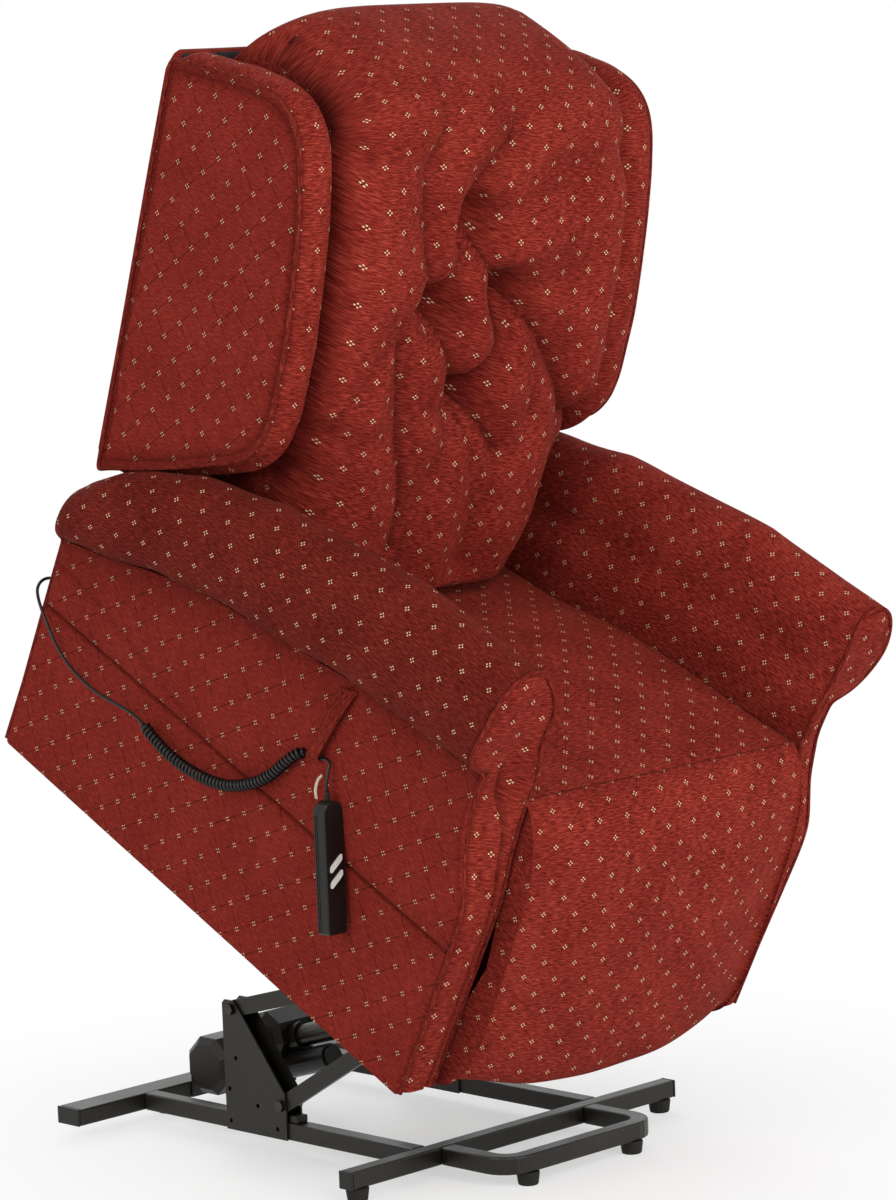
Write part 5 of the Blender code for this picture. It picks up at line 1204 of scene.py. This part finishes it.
def makeOuterBack():
    form = outerForm
    foot, step, top, edge = (form[key] for key in ("footHeight", "stepHeight", "top", "edge"))
    levels = np.concatenate([np.linspace(foot, step - 0.0005, 50), np.linspace(step, top, 80)])
    narrowed = form["wideHalf"] - 0.012 * smoothStep((levels - 1.015) / 0.03)
    half = np.where(levels < step, form["footHalf"], narrowed)[:, None]
    x = half * crowded(61)[None]
    z = levels[:, None] + 0 * x
    ends = np.minimum(levels - foot, top - levels)[:, None]
    drop = 0.006 * (rounding((np.abs(x) - (half - edge)) / edge) + rounding(1 - ends / edge))
    rear = stacked(x, backPlane(z) - drop + 0.0010 * waves(x, z, 81, 0.25) - 0.0012, z)
    front = stacked(x, backPlane(z) - form["thickness"], z)
    shell = Shell()
    shell.grid(rear, stacked(x, z), flip=True)
    shell.grid(front, stacked(x, z), slot=1)
    sides = (
        (rear[:, 0], front[:, 0], False), (rear[:, -1], front[:, -1], True),
        (rear[0], front[0], True), (rear[-1], front[-1], False),
    )
    for a, b, flip in sides:
        strip = np.stack([a, b], 1)
        shell.grid(strip, stacked(strip[..., 0] + strip[..., 1], strip[..., 2]), flip=flip)
    outer = shell.build("outer_back_cover", [panelCloth, hard["black_lining"]])
    upholster(outer, "outer_back", "backrest")


makeOuterBack()
print("outer back made")

strapForm = {
    "x": -0.3468,
    "top": (0.294, 0.4545),
    "bottom": (0.307, 0.3375),
    "along": (-0.940, 0.342),
    "width": 0.027,
    "thickness": 0.0024,
    "bend": 0.0088,
    "shadowRows": 44,
}


def strapLine(half):
    # Down against the arm, round the bend and up again: away from the arm, down.
    form = strapForm
    inset, bend = form["thickness"] / 2, form["bend"]
    line = [(-inset, -half)] + [(-inset, d) for d in np.linspace(-half * 0.9, half - bend, 30)]
    for a in np.radians(np.linspace(-8, -172, 16)):
        radius = bend - inset
        line.append((-bend + radius * math.cos(a), half - bend - radius * math.sin(a)))
    rise = np.linspace(half - bend, -half, 30)
    knots = (-half, -half * 0.5, half - bend)
    reach = np.interp(rise, knots, (-3 * inset - 0.0006, -0.010, -2 * bend + inset))
    return softened(resample(line + list(zip(reach, rise)), 110), 4)


def makeStrap():
    form = strapForm
    top, bottom = np.array(form["top"]), np.array(form["bottom"])
    half = np.linalg.norm(top - bottom) / 2
    down = (bottom - top) / (2 * half)
    along = np.array(form["along"])
    middle = (top + bottom) / 2
    line = strapLine(half)
    heading = headings(line)
    w = np.linspace(-1, 1, 17)
    loop = np.concatenate([w, w[::-1]])
    face = np.repeat([1.0, -1.0], 17)
    thick = form["thickness"] / 2 * np.sqrt(np.maximum(0.02, 1 - np.abs(loop) ** 8))
    # Painted shadow on the front part of the outer face stands for the loop's shaded inside.
    paintedLoopShadow = smoothStep((loop + 0.05) / 0.25) * (1 - smoothStep((loop - 0.72) / 0.18)) * (face > 0)
    rows, shades = [], []
    for k, (p, h) in enumerate(zip(line, heading)):
        fold = 0.0014 * np.cos(loop * 2.2 * math.pi / 2) * math.sin(math.pi * k / len(line))
        place = p + np.array([-h[1], h[0]]) * (face * thick + fold * 0.4)[:, None]
        x, d = place[:, :1], place[:, 1:]
        wide = form["width"] / 2 * (0.80 + 0.42 * smoothStep((0.4 * half - d) / (1.4 * half)))
        flat = middle + down * d + along * loop[:, None] * wide
        rows.append(np.hstack([form["x"] + x, flat]))
        shades.append(0.85 * paintedLoopShadow * smoothStep(min(k, form["shadowRows"] - k) / 8))
    shades = np.array([shades[0]] * 2 + shades + [shades[-1]] * 2)
    run = lengths(line)
    uv = stacked(run[:, None], np.append(loop, loop[0])[None] * form["width"] / 2)
    points, uv = closedEnds(np.array(rows), uv, 2)
    shell = Shell()
    shell.grid(points, uv, wrap=True, shade=shades)
    strap = shell.build("cord_strap", [plainCloth])
    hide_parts("strap_loop")
    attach(strap, "chair")


makeStrap()

tieForm = {"strand": 0.0011, "twist": 0.0011, "pitch": 0.0065}


def makeTie():
    # A cream string of two twisted strands, from the lead at the strap down to the handset.
    form = tieForm
    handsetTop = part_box("handset_front")[1][2]
    start = cordTop + np.array([-0.010, -0.006, -0.020])
    end = np.array([start[0] - 0.006, start[1] + 0.006, handsetTop + 0.002])
    drop = start[2] - end[2]
    bends = [start + (-0.007, 0.001, -0.2 * drop), start + (-0.0100, 0.003, -0.6 * drop)]
    center = catmull([start, *bends, end], 160)
    sides, others = sweepFrames(center)
    run = lengths(center)
    strands = Shell()
    for phase in (0, math.pi):
        turn = (2 * math.pi * run / form["pitch"] + phase)[:, None]
        strand = center + form["twist"] * (np.cos(turn) * sides + np.sin(turn) * others)
        strands.grid(*closedEnds(*tubeGrid(strand, form["strand"], 8)), wrap=True)
    tie = strands.build("handset_tie", [hard["cream_string"]], 0, np.asarray)
    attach(tie, "handset")


makeTie()
print("strap and tie made")

# The hard pieces keep their solids. The ends of their names tell their material.
edgeWidths = {"handset_front": 0.0024, "handset_rear": 0.0024, "other": 0.0007}
finishes = (
    (("bracket", "link", "carriage_plate", "stop_block", "power_unit_plate"), hard["satin_black_paint"]),
    (("crossbar", "rail", "toe_loop", "torque_tube"), hard["satin_black_paint"]),
    (("actuator_rod",), hard["ground_steel"]),
    (("pivot_bolt", "actuator_tube"), hard["dark_steel"]),
    (("foot", "grommet", "strain_relief"), hard["black_rubber"]),
    (("seat_frame", "back_frame", "legrest_board"), plywoodMaterial()),
    (("_button",), hard["white_button_plastic"]),
    (("",), hard["black_moulded_plastic"]),
)


def dress(name):
    material = next(material for endings, material in finishes if name.endswith(endings))
    data = nodes[name].data
    data.materials.clear()
    data.materials.append(material)
    edge = nodes[name].modifiers.new("edge", "BEVEL")
    edge.width = edgeWidths.get(name, edgeWidths["other"])
    edge.segments = 3
    edge.limit_method = "ANGLE"
    edge.angle_limit = math.radians(35)
    edge.harden_normals = True


for name in nodes:
    if not nodes[name].hide_render:
        dress(name)


def makeFloor():
    material, g, shader = newMaterial("studio_floor")
    place = g.add("ShaderNodeTexCoord").outputs["Object"]
    color = studio["floorColor"]
    tone = g.mix(g.noise(place, 3.0), tuple(0.99 * c for c in color), color)
    g.put(shader, {"Base Color": tone, "Roughness": 0.9})
    # Away from the object the floor turns into the white backdrop, for rays that show it.
    away = g.add("ShaderNodeVectorMath", operation="LENGTH")
    g.join(place, away.inputs[0])
    fade = g.math("MULTIPLY", g.range(away.outputs["Value"], *studio["floorFade"]), seenDirectly(g))
    glow = g.add("ShaderNodeEmission").outputs[0]
    mixed = g.fill(g.add("ShaderNodeMixShader"), fade, shader.outputs[0], glow)
    g.put(material.node_tree.nodes["Material Output"], {"Surface": mixed})
    mesh = bpy.data.meshes.new("studio_floor")
    size = studio["floorSize"]
    corners = [(-size, -size, 0), (size, -size, 0), (size, size, 0), (-size, size, 0)]
    mesh.from_pydata(corners, [], [(0, 1, 2, 3)])
    mesh.materials.append(material)
    floor = bpy.data.objects.new("studio_floor", mesh)
    bpy.context.scene.collection.objects.link(floor)


makeFloor()
